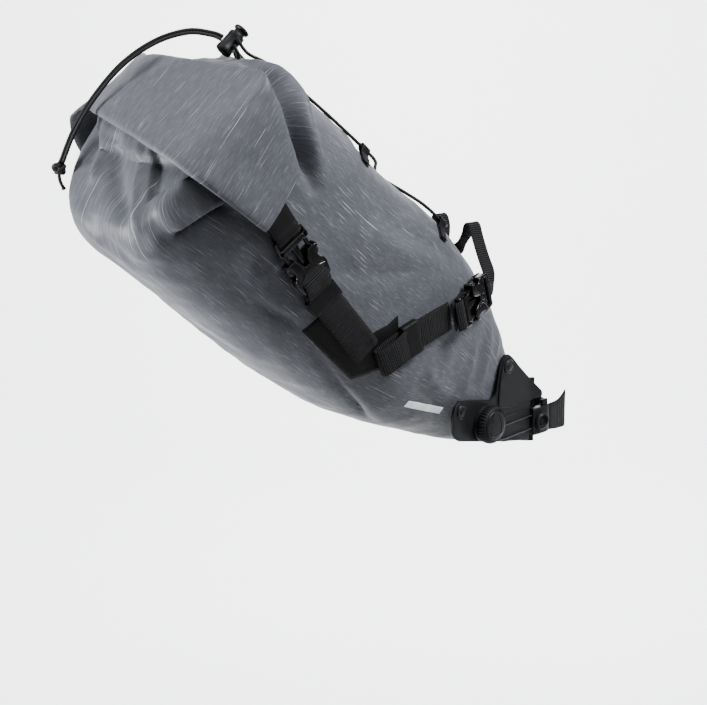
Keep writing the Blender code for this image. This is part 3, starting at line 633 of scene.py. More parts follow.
def strip(name, path, outs, width, thickness, look, spacing=0.8 * MM, rib=0.0, **rest):
    """Webbing or tape along a path.

    outs are the directions its face points in, and rib is the height of its cross ribs.
    """
    path, outs = evenly_facing([tuple(p) for p in path], [tuple(o) for o in outs], spacing)
    profile = web_profile(width, thickness)
    tangents = units(np.gradient(path, axis=0))
    outs = units(outs - tangents * (outs * tangents).sum(axis=1)[:, None])
    wide = np.cross(outs, tangents)
    run = np.concatenate([[0], np.cumsum(np.linalg.norm(np.diff(path, axis=0), axis=1))])
    rings = []
    for i in range(len(path)):
        swell = rib * math.sin(2 * math.pi * run[i] / RIB_PITCH)
        ring = []
        for a, h in profile:
            grow = math.copysign(swell, h) if abs(a) < width * 0.48 else 0.0
            ring.append(path[i] + wide[i] * a + outs[i] * (h + grow))
        rings.append(ring)
    return add_loft(name, rings, look, **rest)


def tube(name, path, radius, look, sides=14, radii=None, **rest):
    """A round cord along a path. radii holds a radius for each point, where it changes."""
    path = np.asarray([tuple(p) for p in path], float)
    tangents = units(np.gradient(path, axis=0))
    side = np.cross(tangents[0], (0.3, 0.2, 0.93))
    rings = []
    for i, (point, tangent) in enumerate(zip(path, tangents)):
        side = side - tangent * np.dot(side, tangent)
        side /= np.linalg.norm(side)
        other = np.cross(tangent, side)
        size = radii[i] if radii is not None else radius
        rings.append([point + size * (side * math.cos(a) + other * math.sin(a))
                      for a in np.arange(sides) * 2 * math.pi / sides])
    return add_loft(name, rings, look, angle=60.0, **rest)


def stitches(name, path, outs, pitch, length, radius):
    """A row of sewn stitches lying on a surface, as small rounded threads."""
    spots, outs = evenly_facing(path, outs, pitch)
    run = np.gradient(spots, axis=0)
    points, faces = [], []
    for spot, out, tangent in zip(spots, outs, run):
        tangent = tangent / np.linalg.norm(tangent)
        out = out / np.linalg.norm(out)
        wide = np.cross(out, tangent)
        start = len(points)
        for t, size in ((-0.5, 0.35), (-0.3, 0.9), (0.0, 1.0), (0.3, 0.9), (0.5, 0.35)):
            for a in range(6):
                angle = a * math.pi / 3
                points.append(spot + tangent * t * length
                              + radius * size * (wide * math.cos(angle) + out * (math.sin(angle) + 0.2)))
        for r in range(4):
            for a in range(6):
                b = (a + 1) % 6
                low, high = start + 6 * r, start + 6 * r + 6
                faces.append((low + a, low + b, high + b, high + a))
        faces.append(tuple(range(start + 5, start - 1, -1)))
        faces.append(tuple(range(start + 24, start + 30)))
    return add_piece(name, points, faces, "thread", slot="black_webbing", angle=60.0)


# ---------------------------------------------------------------- the bag's fabric body

SECTION_POWER = 2.8
# Sections from the post to the mouth, in mm: bottom x, z, top x, z, half width
BAG_SECTIONS = (
    (-24, -10, -24, 38, 15),
    (-48, -8, -36, 74, 24),
    (-85, -2, -50, 108, 34.5),
    (-122, 11, -73, 146, 46),
    (-160, 24, -100, 180, 58),
    (-200, 40, -132, 210, 67),
    (-240, 63, -167, 235, 73),
    (-284, 94, -203, 269, 77),
    (-330, 132, -240, 304, 80),
    (-374, 170, -276, 333, 81),
    (-408, 200, -304, 339, 81),
    (-418, 224, -324, 338, 80),
    (-406, 250, -335, 329, 77),
    (-390, 271, -340, 322, 72),
)
# How the mouth is pinched shut under the roll: push outwards in mm, height and width shares
PINCH = ((5, 0.86, 0.985), (8.5, 0.60, 0.965), (10.5, 0.30, 0.95), (11.5, 0.06, 0.94))
MOUTH_OUT = (-0.70, 0, 0.71)
BODY_STEPS = 17
BODY_AROUND = 288
SKIN_INSET = 0.4


def mirrored(line):
    """The same line on the other side of the bag."""
    return tuple((x, -y, z) for x, y, z in line)


BOTTOM_SEAM = ((-340, -66, 178), (-309, -69, 156), (-284, -69, 138), (-250, -61, 99), (-232, -54, 79),
               (-209, -44, 57), (-181, -26, 36))
GUSSET_HOLLOW = ((-298, -22, 338), (-291, -45, 331), (-290, -59, 320), (-289, -68, 306), (-287, -74, 291),
                 (-284, -77, 272), (-277, -78, 250))
GUSSET_RIDGE = ((-296, -10, 339), (-285, -34, 332), (-277, -49, 321), (-276, -59, 311), (-277, -70, 294),
                (-273, -75, 276), (-265, -77, 256))
# Crisp creases, each a line on the skin in mm: points, width, height (negative is a valley)
CREASES = (
    # rear face: the ridge beside the pocket and the long crease on its left
    (((-386, -10, 288), (-391, -18, 278), (-398, -30, 263), (-405, -40, 250), (-412, -50, 236),
      (-414, -54, 222)), 7.0, 6.0),
    (((-378, 46, 290), (-390, 37, 272), (-398, 32, 260), (-405, 27, 246)), 6.0, 5.0),
    (((-348, -82, 247), (-357, -80, 243.5), (-375, -78, 236.5), (-388, -73, 227.5), (-394, -69, 222)),
     3.0, -5.0),
    # seam between the side wall and the bottom
    (BOTTOM_SEAM, 2.6, -4.0),
    (((-336, -72, 186), (-305, -75, 163), (-279, -75, 144), (-245, -66, 106), (-226, -58, 85),
      (-203, -48, 62), (-176, -30, 38)), 7.0, 2.2),
    (mirrored(BOTTOM_SEAM), 2.6, -4.0),
    # side wall
    (((-250, -78, 176), (-196, -73, 172), (-150, -60, 168), (-118, -52, 160)), 5.0, -1.6),
    (((-196, -62, 226), (-189, -67, 206), (-151, -59, 187), (-112, -49, 166)), 9.0, -3.4),
    (((-212, -66, 222), (-204, -70, 196), (-160, -62, 176), (-128, -54, 160)), 11.0, 2.8),
    # creases fanning from the rivets
    (((-94, -46, 100), (-97, -45, 72), (-104, -44, 50)), 5.5, 2.6),
    (((-84, -40, 98), (-88, -40, 72), (-94, -40, 50)), 6.0, -2.6),
    (((-55, -30, 92), (-64, -35, 66), (-70, -35, 46)), 5.0, 2.2),
    (((-156, -60, 86), (-140, -54, 68), (-118, -48, 46)), 6.5, 2.4),
    (((-168, -60, 74), (-146, -54, 58), (-122, -48, 40)), 6.0, -2.0),
    (((-70, -38, 110), (-74, -38, 82), (-80, -38, 52)), 5.0, 1.8),
)
# Soft swells and hollows, written the same way
SWELLS = (
    (((-376, 30, 292), (-388, 22, 278), (-397, 6, 262), (-408, -22, 245), (-413, -42, 232)), 9.0, -6.0),
    (((-366, 62, 290), (-384, 56, 274), (-396, 52, 256)), 8.0, -4.0),
    (((-402, -62, 238), (-392, -74, 245), (-374, -82, 256)), 12.0, 3.2),
    (((-412, 10, 232), (-412, -14, 212), (-402, -34, 196)), 9.0, -2.2),
    (((-414, 44, 236), (-416, 20, 222), (-410, -2, 204)), 9.0, 2.0),
    (((-398, -66, 226), (-402, -52, 214), (-404, -34, 204)), 8.0, 2.6),
    # gusset: the hollow beside the roll's folded edge and the ridge that runs along it
    (GUSSET_HOLLOW, 5.5, -13.0),
    (mirrored(GUSSET_HOLLOW), 5.5, -13.0),
    (GUSSET_RIDGE, 7.5, 8.0),
    (mirrored(GUSSET_RIDGE), 7.5, 8.0),
    (((-300, -76, 160), (-268, -75, 178), (-230, -76, 184)), 9.0, -2.0),
    (((-340, -80, 180), (-322, -80, 196), (-312, -81, 216)), 9.0, -2.6),
)
# A fold that laps over: line in mm, the side that stands proud, its width and how far it stands
LAPS = (
    (((-350, -82, 251), (-357, -80, 247), (-375, -78, 240), (-388, -73, 231), (-394, -69, 226)),
     (0.35, 0.0, 0.94), 14.0, 7.5),
    (((-352, 82, 252), (-368, 81, 244), (-384, 77, 234)), (0.35, 0.0, 0.94), 13.0, 5.0),
)
LAP_STEP = 1.2
# The three-cornered pocket under the roll: its corners in mm, clockwise from the top left, and its depth
POCKET = ((-384, -22, 291), (-373, -88, 274), (-404, -54, 246))
POCKET_DEPTH = 5.5


def section_ring(bottom, top, half_width):
    """One rounded box section as an array of points."""
    centre = (bottom + top) / 2
    up = top - bottom
    half_height = np.linalg.norm(up) / 2
    up = up / (2 * half_height)
    angle = 2 * math.pi * (np.arange(BODY_AROUND) + 0.5) / BODY_AROUND
    # even spacing round the corners as well as along the flats
    angle = angle - 0.16 * np.sin(4 * angle)
    across = np.sign(np.cos(angle)) * np.abs(np.cos(angle)) ** (2 / SECTION_POWER)
    rise = np.sign(np.sin(angle)) * np.abs(np.sin(angle)) ** (2 / SECTION_POWER)
    ring = centre + np.outer(rise, up) * (half_height - SKIN_INSET)
    ring[:, 1] += across * (half_width - SKIN_INSET)
    return ring


def body_rings():
    """Rings from the post to the mouth, and on through the pinched mouth under the roll."""
    spots = curve_through(BAG_SECTIONS, BODY_STEPS)
    rings = []
    for bx, bz, tx, tz, half in spots:
        rings.append(section_ring(np.array((bx, 0, bz)), np.array((tx, 0, tz)), half))
    last = rings[-1]
    middle = last.mean(axis=0)
    out = np.array(MOUTH_OUT)
    keys = [(0, 1, 1), *PINCH]
    for (p0, h0, w0), (p1, h1, w1) in zip(keys, keys[1:]):
        for step in range(1, 5):
            t = step / 4
            push, high, wide = (a + (b - a) * t for a, b in ((p0, p1), (h0, h1), (w0, w1)))
            ring = (last - middle) * np.array((high, wide, high)) + middle + out * push
            rings.append(ring)
    return np.array(rings)


def near_line(points, line):
    """Distance from each point to a polyline, the share along it and the offset from its nearest spot."""
    line = np.asarray(line, float)
    best = np.full(len(points), 1e9)
    share = np.zeros(len(points))
    offset = np.zeros((len(points), 3))
    spans = len(line) - 1
    for i in range(spans):
        a, b = line[i], line[i + 1]
        run = b - a
        t = np.clip(((points - a) @ run) / (run @ run), 0, 1)
        gap = points - (a + t[:, None] * run)
        distance = np.linalg.norm(gap, axis=1)
        closer = distance < best
        best[closer] = distance[closer]
        share[closer] = (i + t[closer]) / spans
        offset[closer] = gap[closer]
    return best, share, offset


def grid_normals(rings):
    """The outward normal at each point of a skin through rings."""
    along = np.gradient(rings, axis=0)
    around = np.roll(rings, -1, axis=1) - np.roll(rings, 1, axis=1)
    normals = np.cross(around, along)
    normals /= np.linalg.norm(normals, axis=2)[:, :, None] + 1e-12
    outward = rings - rings.mean(axis=1)[:, None, :]
    flip = np.sign((normals * outward).sum(axis=2))
    flip[flip == 0] = 1
    return normals * flip[:, :, None]


def fractal(points, scale, octaves, seed):
    """Smooth noise from -1 to 1 at each point, in mm."""
    shift = Vector((seed * 17.3, seed * 5.1, seed * 9.7))
    return np.array([noise.fractal(Vector(p) * scale + shift, 1.0, 2.0, octaves) for p in points])


def smooth_step(value):
    """0 at 0 and below, 1 at 1 and above, and smooth between."""
    value = np.clip(value, 0, 1)
    return value * value * (3 - 2 * value)


def pocket_share(points):
    """1 on the pocket's floor and 0 outside it. The pocket is open at the top, under the roll."""
    left, right, low = (np.array(corner, float) for corner in POCKET)
    facing = np.cross(right - left, low - left)
    facing /= np.linalg.norm(facing)
    share = np.ones(len(points))
    for start, end, ramp in ((left, low, 5.0), (low, right, 3.0)):
        inward = np.cross(facing, end - start)
        inward /= np.linalg.norm(inward)
        middle = (left + right + low) / 3
        inward *= np.sign((middle - start) @ inward)
        share = np.minimum(share, smooth_step(((points - start) @ inward) / ramp))
    near = 1 - smooth_step((np.abs((points - left) @ facing) - 22) / 8)
    rising = np.clip((points - left) @ (right - left) / ((right - left) @ (right - left)), 0, 1)
    return share * near * (1 - 0.3 * rising)


def fold_heights(points):
    """How far each point of the skin stands out of it, in mm, from the folds."""
    height = np.zeros(len(points))
    for lines, power in ((CREASES, 1.25), (SWELLS, 2.0)):
        for line, width, rise in lines:
            distance, share, _ = near_line(points, curve_through(line, 6))
            ends = smooth_step(np.minimum(share, 1 - share) / 0.22)
            height += rise * np.exp(-((distance / width) ** power)) * (0.25 + 0.75 * ends)
    for line, up, width, rise in LAPS:
        distance, share, offset = near_line(points, curve_through(line, 6))
        ends = smooth_step(np.minimum(share, 1 - share) / 0.3)
        step = np.tanh(offset @ np.asarray(up, float) / LAP_STEP)
        height += rise * step * np.exp(-((distance / width) ** 2)) * ends
    return height - POCKET_DEPTH * pocket_share(points)


def clear_mask(points, names, reach):
    """0 at the CAD pieces named, 1 further than reach from them, in mm."""
    nearest = np.full(len(points), 1e9)
    for name in names:
        tree = mesh_tree(NODES[name].data)
        low, high = (np.array(corner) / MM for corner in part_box(name))
        close = np.where(((points > low - reach) & (points < high + reach)).all(axis=1))[0]
        for i in close:
            found = tree.find_nearest(Vector(points[i] * MM), reach * MM)
            if found[0] is not None:
                nearest[i] = min(nearest[i], found[3] / MM)
    return smooth_step(nearest / reach)


# The CAD pieces sewn or clamped on the fabric, which hold its folds flat
PRESSED_BY = ["post_bracket"] + [f"{stem}_{side}" for side in ("right", "left") for stem in (
    "side_patch", "closure_strap", "rail_strap", "rail_loop")] + [
    f"bungee_eye_{side}_{end}" for side in ("right", "left") for end in ("rear", "front")] + [
    f"{kind}_{side}_{half}" for kind in ("closure", "rail") for side in ("right", "left")
    for half in ("male", "female")]

PRESSED_REACH = 14.0
# Rows of the skin over which the folds fade in at the nose and out at the mouth
NOSE_ROWS = 8
MOUTH_ROWS = 16


def make_body():
    """The bag's fabric shell, with its folds pressed flat under the pieces sewn on it."""
    rings = body_rings()
    rows, count = rings.shape[:2]
    normals = grid_normals(rings)
    flat = rings.reshape(-1, 3)
    height = fold_heights(flat)
    height += 1.9 * fractal(flat, 0.016, 3, 1) + 0.45 * fractal(flat, 0.07, 3, 2)
    mask = clear_mask(flat, PRESSED_BY, PRESSED_REACH)
    height = np.where(height > 0, height * mask, height * (0.25 + 0.75 * mask))
    ends = np.ones(rows)
    ends[:NOSE_ROWS] = np.linspace(0, 1, NOSE_ROWS)
    ends[-MOUTH_ROWS:] *= np.linspace(1, 0.15, MOUTH_ROWS)
    height = height.reshape(rows, count) * ends[:, None]
    rings = rings + normals * height[:, :, None]
    return add_loft("bag_body", rings * MM, "coated_fabric", replaces=["bag_shell"], angle=0)


# ---------------------------------------------------------------- rolled mouth

# The band's edges in mm from its middle to its end: upper x, y, z, lower x, y, z, thickness
ROLL_RIGHT = (
    (-334, 0, 340, -390, 0, 289, 9),
    (-326, 40, 340.5, -395, 40, 284, 9),
    (-320, 64, 341, -394, 68, 278, 9),
    (-319, 76, 341, -390, 82, 271.5, 9),
    (-320, 83, 337, -383, 91, 264.5, 8.5),
    (-315, 86, 322, -371, 94, 255, 8),
    (-306, 87, 298, -354, 94, 242, 7.5),
    (-295, 88, 266, -330, 92, 224, 7),
)
ROLL_LEFT = (
    (-333, 40, 339, -385, 40, 293, 9),
    (-331, 66, 337, -378, 68, 294, 9),
    (-322, 84, 337, -377, 86, 295, 8.5),
    (-312, 89.5, 328, -388, 93, 288, 8),
    (-304, 90, 305, -376, 92, 256, 7.5),
    (-295, 90, 266, -330, 90, 224, 7),
)
ROLL_TURNS = 3
ROLL_REACH = 31.0
ROLL_THICK = 9.0
FABRIC_THICK = 0.9


def roll_outline(reach, thick):
    """The rolled fabric's section: a flattened spiral strip as (across, out) in mm, closed."""
    line = []
    steps = 34
    total = ROLL_TURNS * steps
    for i in range(total + 1):
        turn = 2 * math.pi * i / steps - math.pi * 0.5
        # each turn reaches further and stands higher than the one inside it
        share = i / total
        half = reach - 4.2 + 3.6 * share
        rise = (thick / 2 - 0.6) * (0.28 + 0.72 * share)
        # powers below 1 square each turn off into two flat layers
        c, s = math.cos(turn), math.sin(turn)
        across = half * math.copysign(abs(c) ** 0.32, c)
        out = thick / 2 + rise * math.copysign(abs(s) ** 0.75, s)
        line.append((across, out))
    line = evenly(np.array(line), reach / 15)
    run = np.gradient(line, axis=0)
    run /= np.linalg.norm(run, axis=1)[:, None] + 1e-12
    side = np.stack([-run[:, 1], run[:, 0]], axis=1) * FABRIC_THICK / 2
    return np.concatenate([line + side, (line - side)[::-1]])


def roll_frames():
    """Evenly spaced frames along the band from the right end to the left: upper, lower, out, thickness."""
    rows = [(s[0], -s[1], s[2], s[3], -s[4], s[5], s[6]) for s in ROLL_RIGHT[::-1]]
    rows += list(ROLL_LEFT)
    rows = evenly(curve_through(rows, 12), 2.2)
    found = []
    for row in rows:
        upper, lower, thick = row[:3], row[3:6], row[6]
        y = (upper[1] + lower[1]) / 2
        across = (upper - lower) / np.linalg.norm(upper - lower)
        turn = min(max((abs(y) - 30) / 60, 0.0), 1.0)
        facing = np.array(MOUTH_OUT) * (1 - turn) + np.array((0, math.copysign(1, y), 0)) * turn
        out = facing - across * (facing @ across)
        out /= np.linalg.norm(out)
        found.append((upper, lower, across, out, thick))
    return found


def make_roll():
    """The rolled mouth, all its layers in one skin, from one pulled-down end over the rear to the other."""
    frames = roll_frames()
    rings = []
    for upper, lower, across, out, thick in frames:
        reach = np.linalg.norm(upper - lower) / 2
        outline = roll_outline(ROLL_REACH, ROLL_THICK) * np.array((reach / ROLL_REACH, thick / ROLL_THICK))
        centre = (upper + lower) / 2
        rings.append(centre + np.outer(outline[:, 0], across) + np.outer(outline[:, 1], out))
    rings = np.array(rings)
    flat = rings.reshape(-1, 3)
    acrosses, outs = (np.repeat(np.array([f[k] for f in frames]), rings.shape[1], axis=0) for k in (2, 3))
    # soft hollows and a slight wave, the same through all the layers
    swell = 1.3 * fractal(flat, 0.020, 3, 5) + 0.35 * fractal(flat, 0.08, 2, 6)
    wave = 0.8 * fractal(flat * np.array((0.2, 1, 0.2)), 0.03, 2, 7)
    flat = flat + outs * (swell - 0.4)[:, None] + acrosses * wave[:, None]
    rings = flat.reshape(rings.shape)
    points, faces, loops = facing_out(*loft_arrays(rings * MM))
    loops = [(v, u) for u, v in loops]
    return add_piece("rolled_mouth", points, faces, "coated_fabric", loops=loops,
                     replaces=["roll_top"], angle=55.0)


# ---------------------------------------------------------------- places on the bag's skin


class BagSkin:
    """Finds places on the bag's outer skin, in the CAD shell."""

    def __init__(self):
        self.tree = mesh_tree(NODES["bag_shell"].data)

    def side(self, x, z, side, lift):
        """The spot on a side wall at x and z in mm, lifted off it by lift in metres, and its normal."""
        start = Vector((x * MM, side * 0.3, z * MM))
        spot, normal, _, _ = self.tree.ray_cast(start, Vector((0, -side, 0)))
        return spot + normal * lift, normal

    def top(self, x, y, lift):
        """The same on the top, at x and y."""
        start = Vector((x * MM, y * MM, 0.6))
        spot, normal, _, _ = self.tree.ray_cast(start, Vector((0, 0, -1)))
        return spot + normal * lift, normal


SKIN = BagSkin()


def smooth_normals(points, side):
    """The wall's normals along a line, evened out so that a strap doesn't show the shell's facets."""
    normals = np.array([tuple(SKIN.side(x, z, side, 0)[1]) for x, z in points])
    for _ in range(3):
        padded = np.concatenate([normals[:1], normals, normals[-1:]])
        normals = (padded[:-2] + padded[1:-1] + padded[2:]) / 3
    return normals / np.linalg.norm(normals, axis=1)[:, None]


def surface_frame(spot, direction, side, lift):
    """A frame on a side wall. spot and direction are in x and z."""
    origin, normal = SKIN.side(*spot, side, lift)
    return frame_at(origin, normal, (direction[0], 0, direction[1]))


# ---------------------------------------------------------------- side-release buckles

MALE_BASE = ((-25, -13.4), (-25, 13.4), (-14, 15), (-11.9, 14), (-11.9, -14), (-14, -15))
MALE_SLOT = ((-21.9, -12.7), (-21.9, 12.7), (-17.2, 12.7), (-17.2, -12.7))
MALE_HUMP = ((-16.6, -11), (-16.6, 11), (-12.6, 12), (-12.6, -12))
MALE_GUIDE = ((-13, -3.4), (-13, 3.4), (-4, 2.2), (4, 1.8), (6, 0), (4, -1.8), (-4, -2.2))
PRONG = ((-11.7, 9.5), (-11.7, 12.5), (-6.5, 12.1), (-1.6, 12.7), (-0.2, 15.9), (1.2, 16.4), (1.8, 15.8),
         (2.5, 16.2), (3.2, 15.5), (3.9, 15.8), (4.6, 15.1), (6.6, 13.4), (8.9, 11.0), (7.6, 9.8), (2, 10.4),
         (-5, 10.1))
FEMALE_FACE = ((-4, -12.6), (-4, -6.4), (1.5, -3.4), (6.5, -2.6), (6.5, 2.6), (1.5, 3.4), (-4, 6.4),
               (-4, 12.6), (-3.2, 15.8), (-0.9, 16.2), (0.6, 13.4), (4.5, 11.9), (8.2, 12.6), (10.6, 15.6),
               (14, 16.4), (25, 14.4), (25, -14.4), (14, -16.4), (10.6, -15.6), (8.2, -12.6), (4.5, -11.9),
               (0.6, -13.4), (-0.9, -16.2), (-3.2, -15.8))
FEMALE_SLOT = ((16.3, -12.7), (16.3, 12.7), (20.9, 12.7), (20.9, -12.7))
FEMALE_END = ((12.2, -15.4), (12.2, 15.4), (25, 14.0), (25, -14.0))
FEMALE_RIDGE = ((-3.4, 7.6), (2.5, 5.0), (7.6, 4.4), (12.5, 8.2), (14.6, 13.6))
FEMALE_POST = ((-3.9, 14.5), (-3.9, 16.1), (-0.9, 16.4), (-0.9, 14.5))


def flipped(outline, sign):
    """The outline, turned over when sign is -1."""
    return [(x, y * sign) for x, y in outline]


def make_buckle(kind, side_name, place):
    """Male half, its two sprung prongs and the female half, each in place of its CAD solid."""
    stem = f"{kind}_{side_name}"
    parts = dict(look="buckle_plastic")
    male = plate(f"{stem}_male_half", (rounded(MALE_BASE, 2.2), rounded(MALE_SLOT, 0.9)), place, -2.7, 2.7,
                 0.7, replaces=[f"{stem}_male"], **parts)
    face, slot = rounded(FEMALE_FACE, 1.5), rounded(FEMALE_SLOT, 0.9)
    guide = plate("guide", (rounded(MALE_GUIDE, 1.2),), place, -1.4, 1.4, 0.5, **parts)
    hump = plate("hump", (rounded(MALE_HUMP, 1.2),), place, 2.4, 3.3, 0.4, **parts)
    join(male, (guide, hump))
    for sign, letter in ((-1, "a"), (1, "b")):
        plate(f"{stem}_spring_{letter}", (rounded(flipped(PRONG, sign), 0.9, 3),), place, -2.15, 2.15, 0.45,
              body=f"{stem}_prong_{letter}_body", replaces=[f"{stem}_prong_{letter}"], **parts)
    female = plate(f"{stem}_female_half", (face, slot), place, 2.85, 4.35, 0.5,
                   replaces=[f"{stem}_female"], **parts)
    extras = [
        plate("back", (face, slot), place, -4.35, -2.85, 0.5, **parts),
        plate("end", (rounded(FEMALE_END, 1.6), slot), place, -3.2, 3.2, 0.3, **parts),
    ]
    for sign in (-1, 1):
        post = rounded(flipped(FEMALE_POST, sign), 0.4)
        extras.append(plate("post", (post,), place, -3.2, 3.2, 0.2, **parts))
        route = [at(place, x, y * sign, 4.25) for x, y in curve_through(FEMALE_RIDGE, 5)]
        extras.append(tube("ridge", route, 0.55 * MM, sides=8, **parts))
    if kind == "rail":
        ring = [at(place, 10.2 + 2.7 * math.cos(a), 2.7 * math.sin(a), 4.4)
                for a in np.linspace(0, 2 * math.pi, 25)]
        extras.append(tube("eyelet", ring, 0.65 * MM, sides=8, **parts))
    join(female, extras)


def local_strip(name, place, route, **rest):
    """Webbing in the buckle's own frame. route is (along, out) pairs in mm."""
    smooth = curve_through(route, 6)
    path = [at(place, x, 0, h) for x, h in smooth]
    outs = [place.to_3x3() @ Vector((-dh, 0, dx)) for dx, dh in np.gradient(smooth, axis=0)]
    strip(name, path, outs, **rest)


# ---------------------------------------------------------------- side straps

CLOSURE_BUCKLE = ((-293, 199), (0.555, -0.832))
CLOSURE_RUN = (0.62, -0.78)
CLOSURE_STRAP = ((-277.6, 176.2), (-268, 164), (-252, 146), (-237, 129), (-223, 113))
RAIL_BUCKLE = ((-109, 133.5), (0.968, 0.25))
RAIL_STRAP = ((-208, 103), (-190, 112), (-172, 118), (-152, 123.5), (-135, 127.5))
PATCH = (((-281, 137), (-268, 148)), ((-256, 113), (-243, 132)), ((-230, 89), (-223, 124)),
         ((-217, 91.5), (-212, 128)), ((-204, 94), (-201, 131)), ((-187, 101), (-191, 137)))
TAPE = 24.6 * MM
TAPE_THICK = 1.5 * MM
WEBBING = {"width": TAPE, "thickness": TAPE_THICK, "look": "black_webbing"}
SLING = 12 * MM
BUCKLE_LIFT = 6.5 * MM
# Webbing out from under the rolled end, round the male half's bar and back, as along and out in mm
BAR_TURN = ((-22.5, 3.3), (-19.6, 0.8), (-20.4, -2.6), (-25, -3.1))


def strap_line(spots, side, step=3.0):
    """Even points along a strap on the side wall, in x and z, and the wall's smoothed normals."""
    line = evenly(curve_through(spots, 8), step)
    feet = np.array([tuple(SKIN.side(x, z, side, 0)[0]) for x, z in line])
    return line, feet, smooth_normals(line, side)


def layered(name, feet, normals, lifts, shift=0.0, **rest):
    """Webbing over the wall along known feet, lifted by lifts and shifted across by shift, in mm."""
    lifts = np.interp(np.linspace(0, 1, len(feet)), np.linspace(0, 1, len(lifts)), lifts)
    wide = np.cross(normals, units(np.gradient(feet, axis=0)))
    path = feet + normals * (lifts * MM)[:, None] + wide * shift * MM
    strip(name, path, normals, **rest)


def keeper_band(name, place, rise, start, width, **rest):
    """A smooth band round a strap. start is the corner point that its ends meet at."""
    loop = rounded(((-14.1, -rise), (14.1, -rise), (14.1, rise), (-14.1, rise)), 1.6, 4)
    loop = np.array(loop[start:] + loop[:start + 1])
    path = [at(place, 0, a, h) for a, h in loop]
    outs = [place.to_3x3() @ Vector((0, dh, -da)) for da, dh in np.gradient(loop, axis=0)]
    strip(name, path, outs, width, 1.0 * MM, "coated_tape", spacing=0.7 * MM, **rest)


def make_patch(side, side_name):
    """Coated patch on the side wall with a thinned edge and a double row of stitches."""
    spacing, thinned = 2.5, 2.0
    rungs = evenly(np.array([(*lower, *upper) for lower, upper in PATCH], float), spacing)
    rings = []
    shares = (0, 0.02, 0.06, 0.14, 0.3, 0.5, 0.7, 0.86, 0.94, 0.98, 1.0)
    for i, rung in enumerate(rungs):
        low, high = rung[:2], rung[2:]
        from_end = min(i, len(rungs) - 1 - i) * spacing
        thin = min(1.0, 0.35 + from_end / thinned * 0.65)
        over, under = [], []
        for share in shares:
            x, z = low + (high - low) * share
            rim = min(1.0, 0.35 + min(share, 1 - share) * 9)
            over.append(SKIN.side(x, z, side, (0.25 + 1.15 * thin * rim) * MM)[0])
            under.append(SKIN.side(x, z, side, 0.1 * MM)[0])
        rings.append([tuple(p) for p in over + under[::-1]])
    add_loft(f"patch_{side_name}", rings, "coated_tape", replaces=[f"side_patch_{side_name}"], angle=70.0)
    for row, inset in enumerate((0.10, 0.17)):
        for edge, share in enumerate((inset, 1 - inset)):
            line = [rung[:2] + (rung[2:] - rung[:2]) * share for rung in rungs[2:-2]]
            spots = [tuple(SKIN.side(x, z, side, 1.45 * MM)[0]) for x, z in line]
            outs = [tuple(SKIN.side(x, z, side, 0)[1]) for x, z in line]
            stitches(f"patch_stitches_{side_name}_{row}_{edge}", spots, outs, 3.1 * MM, 2.2 * MM, 0.28 * MM)


def box_stitches(name, place, half_along, half_across, height):
    """A sewn box with its crossing, on webbing, in the frame of place."""
    a, b = half_along, half_across
    corners = ((-a, -b), (a, -b), (a, b), (-a, b), (-a, -b), (a, b))
    route = evenly(np.array(corners, float), 0.5)
    spots = [tuple(at(place, x, y, height)) for x, y in route]
    outs = [tuple(place.to_3x3() @ Vector((0, 0, 1)))] * len(spots)
    stitches(name, spots, outs, 2.4 * MM, 1.7 * MM, 0.25 * MM)


def make_closure(side, side_name):
    """The patch, buckle and webbing that hold a rolled end down."""
    place = surface_frame(*CLOSURE_BUCKLE, side, BUCKLE_LIFT)
    make_patch(side, side_name)
    make_buckle("closure", side_name, place)
    # tab from under the rolled end, round the male half's bar and back
    local_strip(f"roll_tab_{side_name}", place,
                ((-52, 1.4), (-42, 1.6), (-31, 2.0), (-26.5, 3.0), *BAR_TURN, (-34, -1.2), (-44, -0.4),
                 (-50, -0.4)),
                width=23.6 * MM, thickness=TAPE_THICK, look="coated_tape", slot="black_webbing",
                replaces=[f"closure_tab_{side_name}"])
    _, feet, normals = strap_line(CLOSURE_STRAP, side)
    layered(f"closure_webbing_{side_name}", feet, normals, (3.2, 2.6, 2.6, 2.7, 2.8), 1.1, rib=0.13 * MM,
            replaces=[f"closure_strap_{side_name}"], **WEBBING)
    layered(f"closure_tail_{side_name}", feet[1:], normals[1:], (5.2, 4.6, 4.7, 5.2, 4.9), -0.5, rib=0.2 * MM,
            **WEBBING)
    local_strip(f"closure_turn_{side_name}", place,
                ((33, -1.0), (28, -2.6), (22, -3.3), (18.2, -1.2), (17.6, 2.6), (19.4, 5.2), (23.0, 5.5),
                 (27.0, 4.4), (31, 2.2), (34, 1.0)), rib=0.2 * MM, **WEBBING)
    # smooth keeper round both layers
    band = surface_frame(CLOSURE_STRAP[1], CLOSURE_RUN, side, 4.1 * MM)
    keeper_band(f"keeper_band_{side_name}", band, 2.9, 2, 14 * MM, replaces=[f"closure_keeper_{side_name}"])
    sewn = surface_frame((-231, 121.5), CLOSURE_RUN, side, 5.9 * MM)
    box_stitches(f"closure_box_{side_name}", sewn, 6, 9, 0.15)


